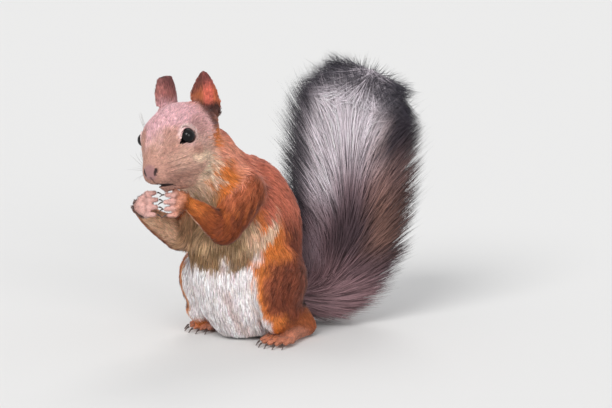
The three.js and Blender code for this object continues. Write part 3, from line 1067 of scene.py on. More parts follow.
    def _ear(self, points: Array, normals: Array, wobble: Array) -> Array:
        """Mauve-brown outside, pink inside with an orange-brown rim, a dark tip and painted shade in the
        canal at its foot.
        """
        tones, head = self.tones, self.body.head
        out = np.zeros_like(points)
        own, ways = head.inwards(points), normals @ head.axes
        for side in SIDES:
            mine = own[:, 0] * side > 0
            axes = head.ear_axes(side)
            local = (own[mine] - head.mirrored(head.ear_root, side)) @ axes.T
            local = local / (head.ear_breadth, 1, head.ear_height)
            across, up, waver = local[:, 0], local[:, 2], 0.05 * wobble[mine]
            back = self._flat(local, tones.ear_back)
            back = tinted(back, tones.crown, ramp(up + waver, 0.6, 0.35))
            back = tinted(back, tones.ear_tip, 0.75 * ramp(up + 0.2 * across + waver, 0.6, 0.95))
            inner = self._flat(local, tones.ear_inside)
            inner = tinted(inner, tones.ear_rim, ramp(across + waver, 0.1, -0.2))
            inner = tinted(inner, tones.ear_rim, 0.8 * ramp(across, 0.5, 0.75))
            inner = tinted(inner, tones.ear_tip, 0.85 * ramp(up - 0.15 * across + waver, 0.58, 0.84))
            # Painted shade: the ear's canal and the foot of its hollow are painted dark.
            inner = tinted(inner, tones.canal_shade, ramp(up + waver, 0.42, 0.26) * ramp(across, -0.6, -0.3))
            inner = tinted(inner, tones.canal_shade, 0.8 * ramp(up + waver, 0.28, 0.14))
            inside = ramp(ways[mine] @ axes[1], 0.0, 0.4)
            out[mine] = tinted(back, inner, inside)
        return out

    def _neck(self, points: Array, normals: Array, wobble: Array) -> Array:
        """Red-brown over the nape, orange-brown at the sides, pale under the chin."""
        tones = self.tones
        rise = normals[:, 2] + 0.25 * normals[:, 1] + 0.1 * wobble
        out = self._flat(points, tones.orange)
        out = tinted(out, tones.ember_and_shade, 0.5 * ramp(Ripple(6, 18).at(points), 0.0, 1.0))
        out = tinted(out, tones.nape, ramp(rise, 0.0, 0.45))
        out = tinted(out, tones.back, 0.9 * ramp(rise, 0.45, 0.9))
        return tinted(out, tones.chest, ramp(rise, -0.4, -0.8))

    def _trunk(self, points: Array, normals: Array, wobble: Array) -> Array:
        """White belly, beige chest, cream flanks and a red-brown back, with painted shade low on the back,
        in the crease above each thigh, along the bib's lower edge and in the folds by the thighs.
        """
        tones = self.tones
        own = points - self.body.shift
        x, z = np.abs(own[:, 0]), own[:, 2]
        middle = np.interp(z, *zip(*self.middles))
        width, depth = self.girth
        turn = np.degrees(np.arctan2(x / width, -(own[:, 1] - middle) / depth)) + 5 * wobble
        out = self._flat(points, tones.back)
        # Painted shade: the back darkens towards its lower part, below its lit top.
        out = tinted(out, tones.rump, ramp(z, 88, 62) * ramp(turn, 88, 112))
        # Painted shade in the crease between the back and the top of each thigh.
        groove = 0.6 * ramp(turn, 100, 108) * ramp(turn, 124, 114) * ramp(z, 82, 70) * ramp(z, 44, 54)
        out = tinted(out, tones.groove, groove)
        high = ramp(z, 66, 84)
        out = tinted(out, tones.orange, 0.8 * ramp(turn, 100 - 20 * high, 80 - 12 * high))
        band = z - 62 - 0.4 * (turn - 55) + 2 * wobble + 2 * Ripple(5, 21).at(points)
        out = tinted(out, tones.orange, 0.85 * ramp(turn, 112, 88) * ramp(band, 2, -3))
        patch = ramp(turn, 100, 84) * ramp(np.abs(band), 6, 2.5)
        out = tinted(out, tones.cream, 0.85 * np.maximum(patch, ramp(turn, 70, 58) * ramp(band, -6, 0)))
        drop = z - 0.3 * x + 3.5 * wobble
        pale = tinted(self._flat(points, tones.belly), tones.chest, ramp(drop, 46, 55))
        # Painted shadow: a dark band along the bib's lower edge, under its overhanging fur.
        pale = tinted(pale, tones.bib_shadow, 0.9 * ramp(np.abs(drop - 55), 8, 3))
        # Painted shade in the fold between the belly and each thigh.
        crease = np.abs(x - 13.5) + 0.6 * wobble
        pale = tinted(pale, tones.fold_shade, 0.55 * ramp(crease, 3.0, 0.8) * ramp(z, 44, 36))
        return tinted(out, pale, ramp(turn + 26 * ramp(z, 74, 90), 66, 54))

    def _inner(self, points: Array, normals: Array, low: float, high: float) -> Array:
        """How far points of a limb face forwards and inwards rather than outwards.

        Args:
            points: Points in the model.
            normals: The normals there.
            low: Degrees outwards from straight ahead where the inner side ends.
            high: Degrees where it is whole.

        Returns:
            Shares from 0 to 1.
        """
        side = np.sign(points[:, 0] - self.body.shift[0])
        turn = np.degrees(np.arctan2(normals[:, 0] * side, -normals[:, 1]))
        return ramp(turn, low, high) * ramp(turn, -150, -110)

    def _upper_arm(self, points: Array, normals: Array, wobble: Array) -> Array:
        """Red-brown shoulder that turns orange towards the elbow, with darker streaks."""
        tones = self.tones
        own = points - self.body.shift
        z = own[:, 2]
        out = self._flat(points, tones.back)
        out = tinted(out, tones.orange, 0.3 + 0.7 * ramp(z + 3 * wobble, 98, 78))
        streak = ramp(Ripple(6, 14).at(points * (1, 1, 0.5)), -0.3, 0.9)
        out = tinted(out, tones.ember_and_shade, np.minimum(0.5 + 0.35 * streak + 0.5 * ramp(z, 92, 76), 1))
        out = tinted(out, tones.groove, 0.5 * streak * ramp(z, 98, 84))
        inner = ramp(-normals[:, 0] * np.sign(own[:, 0]), 0.3, 0.8)
        return tinted(out, tones.chest, 0.7 * inner)

    def _forearm(self, points: Array, normals: Array, wobble: Array) -> Array:
        """Bright orange with dark orange streaks and painted shade on the underside, darker round the elbow,
        and a pale inner side lightened as painted light.
        """
        own = points - self.body.shift
        out = self._flat(points, self.tones.orange)
        # Painted shade: the forearm's underside darkens to dark orange, broken by noise into streaks.
        below = ramp(0.7 * Ripple(6, 15).at(points) - normals[:, 2], -0.5, 0.7)
        gaps = [np.linalg.norm(own - np.array(elbow), axis=1) for _, elbow, *_ in self.body.arms.values()]
        near_elbow = ramp(np.min(gaps, axis=0), 28, 12)
        out = tinted(out, self.tones.ember_and_shade, np.maximum(0.8 * below, 0.95 * near_elbow))
        inner = ramp(-normals[:, 0] * np.sign(own[:, 0]), 0.0, 0.55)
        # Pale fur on the inner side, made lighter than its own colour as painted light.
        return tinted(out, self.tones.lit_peach, 0.8 * inner)

    def _hand(self, points: Array, normals: Array, wobble: Array) -> Array:
        """Thinly haired pink skin, orange at the wrist and paler at the fingers."""
        tones = self.tones
        own = points - self.body.shift
        out = tinted(self._flat(points, tones.orange), tones.hand, ramp(own[:, 1], -53, -59))
        out = tinted(out, tones.fingers, ramp(own[:, 1], -59, -67))
        return tinted(out, tones.fingers, ramp(own[:, 0], 2, -4))

    def _thigh(self, points: Array, normals: Array, wobble: Array) -> Array:
        """White on the inner side, orange in front, streaked red-brown behind."""
        tones = self.tones
        own = points - self.body.shift
        out = self._flat(points, tones.orange)
        out = tinted(out, tones.cream, 0.4 * self._inner(points, normals, 42, 16))
        outer = self._inner(points, normals, 46, 92) * ramp(own[:, 2] + 5 * wobble - 0.4 * own[:, 1], 60, 40)
        out = tinted(out, tones.back, 0.6 * outer)
        out = tinted(out, tones.rump, 0.9 * outer)
        streak = ramp(Ripple(5, 16).at(points * (1, 1, 0.25)), 0.0, 0.9)
        out = tinted(out, tones.groove, 0.6 * streak * self._inner(points, normals, 36, 64))
        inner = self._inner(points, normals, 22, 4)
        pale = tinted(self._flat(points, tones.belly), tones.cream, ramp(inner, 0.9, 0.2))
        return tinted(out, pale, inner)

    def _shank(self, points: Array, normals: Array, wobble: Array) -> Array:
        """Orange-brown outside, pale on the inner side."""
        own = points - self.body.shift
        out = self._flat(points, self.tones.orange)
        out = tinted(out, self.tones.rump, 0.7 * ramp(own[:, 1], -6, 12))
        pale = 0.9 * self._inner(points, normals, 30, 6) * ramp(own[:, 2], 7, 13)
        return tinted(out, self.tones.belly, pale)

    def _foot(self, points: Array, normals: Array, wobble: Array) -> Array:
        """Orange-brown hair over pink skin, bare beneath."""
        out = self._flat(points, self.tones.foot)
        return tinted(out, self.tones.hand, ramp(-normals[:, 2], 0.3, 0.8))

    def _tail(self, points: Array, normals: Array, wobble: Array) -> Array:
        """Dark brown skin under the plume."""
        return self._flat(points, self.tones.tail_skin)


# ---------- meshes ----------


def placed(name: str, data: bpy.types.ID) -> Object:
    """Some data as an object in the scene."""
    made = bpy.data.objects.new(name, data)
    bpy.context.scene.collection.objects.link(made)
    return made


def shaped(bm: bmesh.types.BMesh, name: str, finish: Material) -> Object:
    """Turns a worked shape into an object with one finish, and lets the shape go.

    Args:
        bm: The shape.
        name: Name of the object.
        finish: Its material.

    Returns:
        The object, in the scene.
    """
    mesh = bpy.data.meshes.new(name)
    bm.to_mesh(mesh)
    bm.free()
    mesh.materials.append(finish)
    return placed(name, mesh)


def mesh_object(name: str, points: Array, loops: Array, starts: Array) -> Object:
    """A mesh object from arrays.

    Args:
        name: Name of the object.
        points: Vertices in millimetres.
        loops: The vertex at each corner of every face.
        starts: Where each face starts in the loops.

    Returns:
        The object, in the scene.
    """
    mesh = bpy.data.meshes.new(name)
    mesh.vertices.add(len(points))
    mesh.vertices.foreach_set("co", (points * MM).astype(np.float32).ravel())
    mesh.loops.add(len(loops))
    mesh.loops.foreach_set("vertex_index", loops.astype(np.int32))
    mesh.polygons.add(len(starts))
    mesh.polygons.foreach_set("loop_start", starts.astype(np.int32))
    mesh.polygons.foreach_set("use_smooth", np.ones(len(starts), bool))
    mesh.update(calc_edges=True)
    return placed(name, mesh)


def paint(made: Object, colours: Array) -> None:
    """Stores one linear colour for each vertex in the shared attribute."""
    layer = made.data.color_attributes.new(COAT, "FLOAT_COLOR", "POINT")
    rgba = np.concatenate([np.clip(colours, 0, 1), np.ones((len(colours), 1))], axis=1)
    layer.data.foreach_set("color", rgba.astype(np.float32).ravel())


@dataclass
class Tufts:
    """Many thin pointed tufts as one mesh, three-sided and closed.

    Attributes:
        paths: The points along each tuft, root first and tip last: tufts x points x 3.
        normals: The direction away from the body for each tuft.
        widths: Half the width at each point but the tip: tufts x (points - 1).
        tones: Linear colour at each point: tufts x points x 3.
        places: Each root's place on the bake map.
        patch: Size of a tuft's patch on the bake map.
        thick: Height of a tuft's ridge, as a share of its width.
        clear: Least height above the ground.
        fan: How far the shading of a tuft's edges leans outwards.
        follow: How far the shading takes after the body's own.
    """

    paths: Array
    normals: Array
    widths: Array
    tones: Array
    places: Array
    patch: float = 0.003
    thick: float = 0.45
    clear: float = 0.05
    fan: float = 0.7
    follow: float = 0.6

    def taken(self, some: Array | slice) -> "Tufts":
        """Some of the tufts."""
        arrays = (self.paths, self.normals, self.widths, self.tones, self.places)
        return Tufts(*(values[some] for values in arrays))

    def dealt(self, most: int) -> list["Tufts"]:
        """The tufts dealt out one by one to as few pieces as keep to a number of tufts each."""
        pieces = -(-len(self.paths) // most)
        return [self.taken(slice(k, None, pieces)) for k in range(pieces)]

    def build(self, name: str, finish: "CoatFinish") -> Object:
        """Makes the mesh with its colours, its bake map and its soft normals.

        Args:
            name: Name of the piece.
            finish: The coat's finish.

        Returns:
            The object.
        """
        count, steps, _ = self.paths.shape
        ways = unit(np.gradient(self.paths, axis=1))
        ups = np.repeat(self.normals[:, None], steps, axis=1)
        across = unit(np.cross(ways, ups))
        ups = unit(np.cross(across, ways))
        half = self.widths[:, :, None]
        base, flank, rise = self.paths[:, :-1], across[:, :-1], ups[:, :-1]
        rings = [base - flank * half, base + flank * half, base + rise * half * 2 * self.thick]
        points = np.concatenate([np.stack(rings, axis=2).reshape(count, -1, 3), self.paths[:, -1:]], axis=1)
        points[..., 2] = np.maximum(points[..., 2], self.clear)
        template, starts = self._faces(steps)
        each = points.shape[1]
        loops = (template[None] + np.arange(count)[:, None] * each).ravel()
        starts = (starts[None] + np.arange(count)[:, None] * len(template)).ravel()
        made = mesh_object(name, points.reshape(-1, 3), loops, starts)
        tones = np.concatenate([np.repeat(self.tones[:, :-1], 3, axis=1), self.tones[:, -1:]], axis=1)
        paint(made, tones.reshape(-1, 3))
        self._map(made, template, steps)
        shading = np.stack([rise - self.fan * flank, rise + self.fan * flank, rise], axis=2)
        shading = np.concatenate([shading.reshape(count, -1, 3), ups[:, -1:]], axis=1)
        soft = unit(unit(shading) + self.follow * self.normals[:, None]).reshape(-1, 3)
        made.data.normals_split_custom_set_from_vertices(soft.astype(np.float32))
        made.data.materials.append(finish.material())
        return made

    def _faces(self, steps: int) -> tuple[Array, Array]:
        """The corners of one tuft's faces, and where each face starts.

        Args:
            steps: Points along the tuft.

        Returns:
            The corners and the starts.
        """
        faces = [(0, 1, 2)]
        for ring in range(steps - 2):
            for k in range(3):
                a, b = ring * 3 + k, ring * 3 + (k + 1) % 3
                faces.append((a, a + 3, b + 3, b))
        last = (steps - 2) * 3
        faces += [(last + k, last + 3, last + (k + 1) % 3) for k in range(3)]
        sizes = [len(face) for face in faces]
        return np.concatenate(faces), np.cumsum([0, *sizes[:-1]])

    def _map(self, made: Object, template: Array, steps: int) -> None:
        """Gives every tuft its own small patch of the bake map."""
        own = np.zeros(((steps - 1) * 3 + 1, 2))
        for ring in range(steps - 1):
            v = ring / (steps - 1)
            own[ring * 3 : ring * 3 + 3] = [(0, v), (1, v), (0.5, v - 0.08)]
        own[-1] = (0.5, 1)
        corners = self.places[:, None] + (own[template] - 0.5) * self.patch
        layer = made.data.uv_layers.new(name=BAKE_MAP)
        layer.data.foreach_set("uv", np.clip(corners, 0, 1).astype(np.float32).ravel())


# ---------- finishes ----------


class Shader:
    """A small helper that builds one node material."""

    def __init__(self, name: str) -> None:
        """Makes the material with its main shader.

        Args:
            name: Name of the material.
        """
        self.material = bpy.data.materials.new(name)
        self.material.use_nodes = True
        self.tree = self.material.node_tree
        self.main = self.tree.nodes["Principled BSDF"]

    def node(self, kind: str, **settings: object) -> bpy.types.Node:
        """Adds a node with its settings.

        Args:
            kind: The kind of node.
            **settings: Its settings by name.

        Returns:
            The node.
        """
        made = self.tree.nodes.new(kind)
        for key, value in settings.items():
            setattr(made, key, value)
        return made

    def link(self, source: Socket, target: Socket) -> None:
        """Joins two sockets."""
        self.tree.links.new(source, target)

    def noise(self, scale: float, detail: float = 2.0) -> Socket:
        """Noise over the object's own coordinates.

        Args:
            scale: Cells a metre.
            detail: How many finer layers it has.

        Returns:
            The noise, from 0 to 1.
        """
        place = self.node("ShaderNodeTexCoord")
        made = self.node("ShaderNodeTexNoise")
        made.inputs["Scale"].default_value = scale
        made.inputs["Detail"].default_value = detail
        self.link(place.outputs["Object"], made.inputs["Vector"])
        return made.outputs["Fac"]

    def varied(self, colour: Socket, scale: float, low: float, high: float) -> Socket:
        """A colour made lighter and darker by noise.

        Args:
            colour: The colour to vary.
            scale: Noise cells a metre.
            low: Brightness at the darkest.
            high: Brightness at the lightest.

        Returns:
            The varied colour.
        """
        reach = self.node("ShaderNodeMapRange")
        for key, value in (("From Min", 0.3), ("From Max", 0.7), ("To Min", low), ("To Max", high)):
            reach.inputs[key].default_value = value
        self.link(self.noise(scale), reach.inputs["Value"])
        made = self.node("ShaderNodeVectorMath", operation="SCALE")
        self.link(colour, made.inputs[0])
        self.link(reach.outputs["Result"], made.inputs["Scale"])
        return made.outputs["Vector"]

    def shared_colours(self, scale: float, low: float, high: float) -> None:
        """Gives the main shader the colours stored on the mesh, varied by noise as varied says."""
        tone = self.node("ShaderNodeAttribute", attribute_name=COAT)
        self.link(self.varied(tone.outputs["Color"], scale, low, high), self.main.inputs["Base Color"])

    def two_tones(self, first: Array, second: Array, scale: float) -> None:
        """Gives the main shader two linear colours, mixed by noise with the scale in cells a metre."""
        mix = self.node("ShaderNodeMix", data_type="RGBA")
        mix.inputs["A"].default_value = (*first, 1)
        mix.inputs["B"].default_value = (*second, 1)
        self.link(self.noise(scale), mix.inputs["Factor"])
        self.link(mix.outputs["Result"], self.main.inputs["Base Color"])

    def bump(self, height: Socket, distance: float, strength: float) -> None:
        """Raises the surface by a height, over a distance in metres."""
        made = self.node("ShaderNodeBump")
        made.inputs["Distance"].default_value = distance
        made.inputs["Strength"].default_value = strength
        self.link(height, made.inputs["Height"])
        self.link(made.outputs["Normal"], self.main.inputs["Normal"])

    def set(self, **values: object) -> None:
        """Sets sockets of the main shader, an underscore standing for a space."""
        for key, value in values.items():
            self.main.inputs[key.replace("_", " ")].default_value = value


@dataclass(frozen=True)
class CoatFinish:
    """Fur: the shared colours with a soft sheen.

    Attributes:
        name: Name of the material.
        roughness: How matt the hairs are.
        sheen: How far their edges catch the light.
    """

    name: str
    roughness: float = 0.62
    sheen: float = 0.12

    def material(self) -> Material:
        """The material, made once."""
        if self.name in bpy.data.materials:
            return bpy.data.materials[self.name]
        shader = Shader(self.name)
        shader.shared_colours(900, 0.9, 1.1)
        shader.set(Roughness=self.roughness, Sheen_Weight=self.sheen, Sheen_Roughness=0.45)
        shader.set(Specular_IOR_Level=0.25)
        return shader.material


@dataclass(frozen=True)
class SkinFinish:
    """Skin under the coat, with the shared colours and the grain of very short fur.

    Attributes:
        name: Name of the material.
        roughness: How matt the skin is.
    """

    name: str = "skin_with_short_fur"
    roughness: float = 0.7

    def material(self) -> Material:
        """The material."""
        shader = Shader(self.name)
        shader.shared_colours(1400, 0.8, 1.12)
        shader.set(Roughness=self.roughness, Sheen_Weight=0.1, Sheen_Roughness=0.5, Specular_IOR_Level=0.3)
        shader.bump(shader.noise(1800, 3.0), 0.0003, 0.6)
        return shader.material


@dataclass(frozen=True)
class EyeFinish:
    """A wet, nearly black eye.

    Attributes:
        name: Name of the material.
    """

    name: str = "eye_wet_black"

    def material(self) -> Material:
        """The material."""
        shader = Shader(self.name)
        shader.two_tones(linear(6, 6, 9), linear(14, 11, 12), 350)
        shader.set(Roughness=0.03, Specular_IOR_Level=0.22)
        return shader.material


@dataclass(frozen=True)
class ClawFinish:
    """Dark horn, a little polished.

    Attributes:
        name: Name of the material.
    """

    name: str = "claw_horn"

    def material(self) -> Material:
        """The material."""
        shader = Shader(self.name)
        shader.two_tones(linear(44, 34, 34), linear(98, 78, 70), 420)
        shader.set(Roughness=0.38, Specular_IOR_Level=0.5)
        shader.bump(shader.noise(2600), 0.0001, 0.4)
        return shader.material


# ---------- the pieces ----------


@dataclass
class Skin:
    """The skin as a mesh, and what the coat needs to know of it.

    Attributes:
        body: The animal's parts.
        marks: The pattern of colour.
        grid: The distances to the skin.
        corners: Its triangles' corners in millimetres: triangles x 3 x 3.
        places: The corners' places on the bake map: triangles x 3 x 2.
    """

    body: Body
    marks: Markings
    grid: DistanceGrid = field(init=False)
    corners: Array = field(init=False)
    places: Array = field(init=False)

    def build(self) -> Object:
        """Makes the skin piece.

        Returns:
            The skin, which stands for every node of flesh.
        """
        flesh = Flesh(self.body)
        self.grid = flesh.grid()
        points, triangles, quads = self.grid.surface(flesh.adaptivity)
        triangles, quads = triangles.reshape(-1, 3)[:, ::-1], quads.reshape(-1, 4)[:, ::-1]
        loops = np.concatenate([triangles.ravel(), quads.ravel()])
        starts = np.cumsum([0] + [3] * len(triangles) + [4] * len(quads))[:-1]
        made = mesh_object("skin", points, loops, starts)
        normals = self.grid.normals(points)
        shares = self.body.shares(points)
        paint(made, self.marks.colours(points, normals, shares))
        self._unwrap(made)
        self._keep(made)
        made.data.materials.append(SkinFinish().material())
        return made

    def _unwrap(self, made: Object) -> None:
        """Unwraps the skin's own shape for the bake map."""
        mesh = made.data
        mesh.uv_layers.new(name=BAKE_MAP)
        bpy.context.view_layer.objects.active = made
        made.select_set(True)
        bpy.ops.object.mode_set(mode="EDIT")
        bpy.ops.mesh.select_all(action="SELECT")
        bpy.ops.uv.smart_project(angle_limit=math.radians(66), island_margin=0.001)
        bpy.ops.object.mode_set(mode="OBJECT")
        made.select_set(False)

    def _keep(self, made: Object) -> None:
        """Keeps the triangles and their places on the bake map."""
        mesh = made.data
        mesh.calc_loop_triangles()
        corners = gathered(mesh.loop_triangles, "vertices", 3, np.int32)
        loops = gathered(mesh.loop_triangles, "loops", 3, np.int32)
        self.corners = (gathered(mesh.vertices, "co", 3) / MM)[corners].astype(float)
        self.places = gathered(mesh.uv_layers[BAKE_MAP].data, "uv", 2)[loops]

    def roots(self, rng: Chance) -> tuple[Array, Array]:
        """Scatters roots evenly over the skin, closer where the coat is finer.

        Args:
            rng: Source of chance.

        Returns:
            The roots and their places on the bake map.
        """
        a, b, c = self.corners[:, 0], self.corners[:, 1], self.corners[:, 2]
        areas = np.linalg.norm(np.cross(b - a, c - a), axis=1) / 2
        middles = self.corners.mean(axis=1)
        wanted = areas * self.body.measure(self.body.shares(middles), "density")
        order = near_order(middles)
        total = np.cumsum(wanted[order])
        count = int(total[-1])
        draws = np.minimum(np.arange(count) + rng.random(count), total[-1] - 1e-6)
        picked = order[np.searchsorted(total, draws)]
        u, v = rng.random(count), rng.random(count)
        u, v = np.where(u + v > 1, 1 - u, u), np.where(u + v > 1, 1 - v, v)
        weights = np.stack([1 - u - v, u, v], axis=1)[:, :, None]
        return (self.corners[picked] * weights).sum(axis=1), (self.places[picked] * weights).sum(axis=1)


def near_order(points: Array, cell: float = 2.0, bits: int = 8) -> Array:
    """An order of points in which neighbours in space come close together.

    Args:
        points: The points, one a row.
        cell: Size of the cells that they are sorted into.
        bits: How many halvings of space are told apart.

    Returns:
        The points' numbers in that order.
    """
    cells = ((points - points.min(0)) / cell).astype(np.int64)
    key = np.zeros(len(points), np.int64)
    for bit in range(bits):
        for axis in range(3):
            key |= ((cells[:, axis] >> bit) & 1) << (3 * bit + axis)
    return np.argsort(key, kind="stable")


def lock_numbers(roots: Array, size: float | Array, seed: int) -> Array:
    """The lock that each tuft belongs to.

    Args:
        roots: Where the tufts start.
        size: How far apart the locks stand there.
        seed: Seed of the locks' places.

    Returns:
        Numbers that neighbouring tufts share.
    """
    spread = np.broadcast_to(size, len(roots))[:, None]
    warped = roots + Ripple(9, seed).vectors(roots) * spread * 0.5
    cells = np.floor(warped / spread).astype(np.int64)
    kinds = np.unique(spread, return_inverse=True)[1].reshape(-1, 1)
    cells = np.concatenate([cells - cells.min(axis=0), kinds], axis=1)
    return np.unique(cells, axis=0, return_inverse=True)[1].ravel()


def locked(tips: Array, locks: Array, pull: float) -> Array:
    """Draws the tips of the tufts of each lock together.

    Args:
        tips: Where the tufts end.
        locks: The lock of each.
        pull: How far the tips move, as a share.

    Returns:
        The new tips.
    """
    sizes = np.bincount(locks)[:, None]
    middles = np.stack([np.bincount(locks, tips[:, k]) for k in range(3)], axis=1) / sizes
    return tips + (middles[locks] - tips) * pull


class Region(Enum):
    """The pieces that the coat is divided into, by the kinds of part that each covers."""

    FACE = (Kind.HEAD, Kind.EAR)
    BACK = (Kind.TRUNK, Kind.NECK)
    LIMBS = (Kind.UPPER_ARM, Kind.FOREARM, Kind.HAND, Kind.THIGH, Kind.SHANK, Kind.FOOT)

    @property
    def slot(self) -> str:
        """The record's material slot for this region."""
        return f"coat_{self.name.lower()}"


@dataclass
class BodyCoat:
    """The short coat of the head, body and limbs.

    Attributes:
        skin: The skin it grows on.
        sink: How far a root lies under the skin.
        lock: Distance between locks.
        pull: How far the tips of a lock draw together, as a share.
        most: Most tufts in one piece.
        taper: A tuft's width at its root and its middle, as shares.
        fade: A tuft's brightness at its root, its middle and its tip.
    """

    skin: Skin
    sink: float = 0.25
    lock: float = 2.2
    pull: float = 0.3
    most: int = 19500
    taper: ClassVar[tuple[float, ...]] = (0.75, 1.0)
    fade: ClassVar[tuple[float, ...]] = (0.8, 0.97, 1.08)

    def build(self) -> list[tuple[Object, Region]]:
        """Grows the coat.

        Returns:
            The pieces, each with its region.
        """
        rng = np.random.default_rng(SEED)
        skin, body = self.skin, self.skin.body
        roots, places = skin.roots(rng)
        normals = skin.grid.normals(roots)
        kept = rng.random(len(roots)) < self._cover(roots, normals)
        roots, places, normals = roots[kept], places[kept], normals[kept]
        shares = body.shares(roots)
        trim = 0.35 + 0.65 * body.head.thin(roots)
        lengths = body.measure(shares, "length") * rng.uniform(0.75, 1.2, len(roots)) * trim
        locks = lock_numbers(roots, np.where(lengths < 4, self.lock / 2, self.lock), 11)
        paths = self._comb(roots, normals, shares, lengths, locks, rng)
        widths = body.measure(shares, "width") * rng.uniform(0.6, 1.3, len(roots)) / 2
        widths = widths * (0.45 + 0.55 * trim)
        tones = skin.marks.colours(roots, normals, shares)
        tones = self._mottled(tones, roots, locks, rng)
        widths = widths[:, None] * np.array(self.taper)
        whole = Tufts(paths, normals, widths, tones[:, None] * np.array(self.fade)[:, None], places)
        owner = shares.argmax(axis=1)
        made = []
        for region in Region:
            columns = [i for i, part in enumerate(body.parts) if part.kind in region.value]
            picked = whole.taken(np.flatnonzero(np.isin(owner, columns)))
            finish = CoatFinish(f"fur_of_{region.name.lower()}")
            for k, tufts in enumerate(picked.dealt(self.most), start=1):
                made.append((tufts.build(f"{region.slot}_{k}", finish), region))
        return made

    def _cover(self, roots: Array, normals: Array) -> Array:
        """How far each root may bear a tuft: none in the eyes, mouth, nostrils or on the nose and soles.

        Args:
            roots: Points on the skin.
            normals: The normals there.

        Returns:
            Shares from 0 to 1.
        """
        head = self.skin.body.head
        own = head.inwards(roots)
        cover = ramp(head.from_nose(own), 3.2, 4.4)
        cover *= ramp(FaceWork.opening(own.T)[0], 0.0, 0.4)
        for side in SIDES:
            eye = np.linalg.norm(own - head.eye(side), axis=1)
            cover *= ramp(eye, head.eye_radius + 0.6, head.eye_radius + 0.9)
            cover *= ramp(head.corner_gap(own, side), 0.35, 0.7)
        soles = ramp(-normals[:, 2], 0.5, 0.9) * ramp(roots[:, 2], 2.5, 1.5)
        return cover * (1 - soles)

    def _comb(
        self, roots: Array, normals: Array, shares: Array, lengths: Array, locks: Array, rng: Chance
    ) -> Array:
        """Lays the tufts along the body, each from its root over a middle point to its tip.

        Args:
            roots: Where the tufts start on the skin.
            normals: The skin's normals there.
            shares: The roots' parts.
            lengths: How long each tuft is.
            locks: The lock of each.
            rng: Source of chance.

        Returns:
            The points: tufts x 3 x 3.
        """
        grid, body = self.skin.grid, self.skin.body
        depth = body.depth(roots, shares) * body.measure(shares, "lift")
        raised = rng.uniform(0.65, 1.2, locks.max() + 1)[locks]
        stand = np.minimum(depth, lengths * 0.5) * rng.uniform(0.45, 1.0, len(roots)) * raised
        way = body.lie(roots, normals, shares)
        way = way + 0.10 * Ripple(9, 5).vectors(roots) + rng.normal(0, 0.06, roots.shape)
        path = [roots - normals * self.sink]
        place, up = roots, normals
        for step, height in ((0.5, 0.72), (0.5, 1.0)):
            place = place + flattened(way, up) * (lengths * step)[:, None]
            up = grid.normals(place)
            place = place + up * (stand * height - grid.sample(place))[:, None]
            path.append(place)
        path[2] = locked(path[2], locks, self.pull)
        return np.stack(path, axis=1)

    def _mottled(self, tones: Array, roots: Array, locks: Array, rng: Chance) -> Array:
        """Varies the tufts' tones, one from the next, lock by lock and over patches.

        Args:
            tones: One colour a tuft.
            roots: Where they start.
            locks: The lock of each.
            rng: Source of chance.

        Returns:
            The new colours.
        """
        patch = 1 + 0.04 * Ripple(7, 8).at(roots) + 0.04 * Ripple(3, 9).at(roots)
        lock = np.clip(rng.normal(1, 0.11, locks.max() + 1), 0.7, 1.3)[locks]
        single = rng.normal(1, 0.12, len(roots))
        dark = rng.random(len(roots)) < 0.15
        single = np.where(dark, single * 0.66, single)
        warm = 1 + rng.normal(0, 0.03, (len(roots), 3))
        return tones * (patch * lock * single)[:, None] * warm


class TailPalette:
    """The colours of the tail's long hair."""

    plum = linear(144, 112, 116)
    dusk = linear(84, 68, 74)
    mauve = linear(178, 152, 160)
    pale = linear(250, 238, 246)
    slate = linear(46, 42, 52)
    warm = linear(178, 130, 108)


@dataclass(frozen=True)
class Hairs:
    """How the tail's hairs stand, one value a hair.

    Attributes:
        stray: Whether it is one of the long, thin, dark hairs that stand out beyond the plume.
        angle: The way it points round the tail, in radians from the plume's broad side.
        start: Where it starts along the tail, in millimetres.
        ahead: How far along the plume it ends, in millimetres.
        out: How far out from the plume's middle it ends, as a share of the plume's size.
    """

    stray: Array
    angle: Array
    start: Array
    ahead: Array
    out: Array


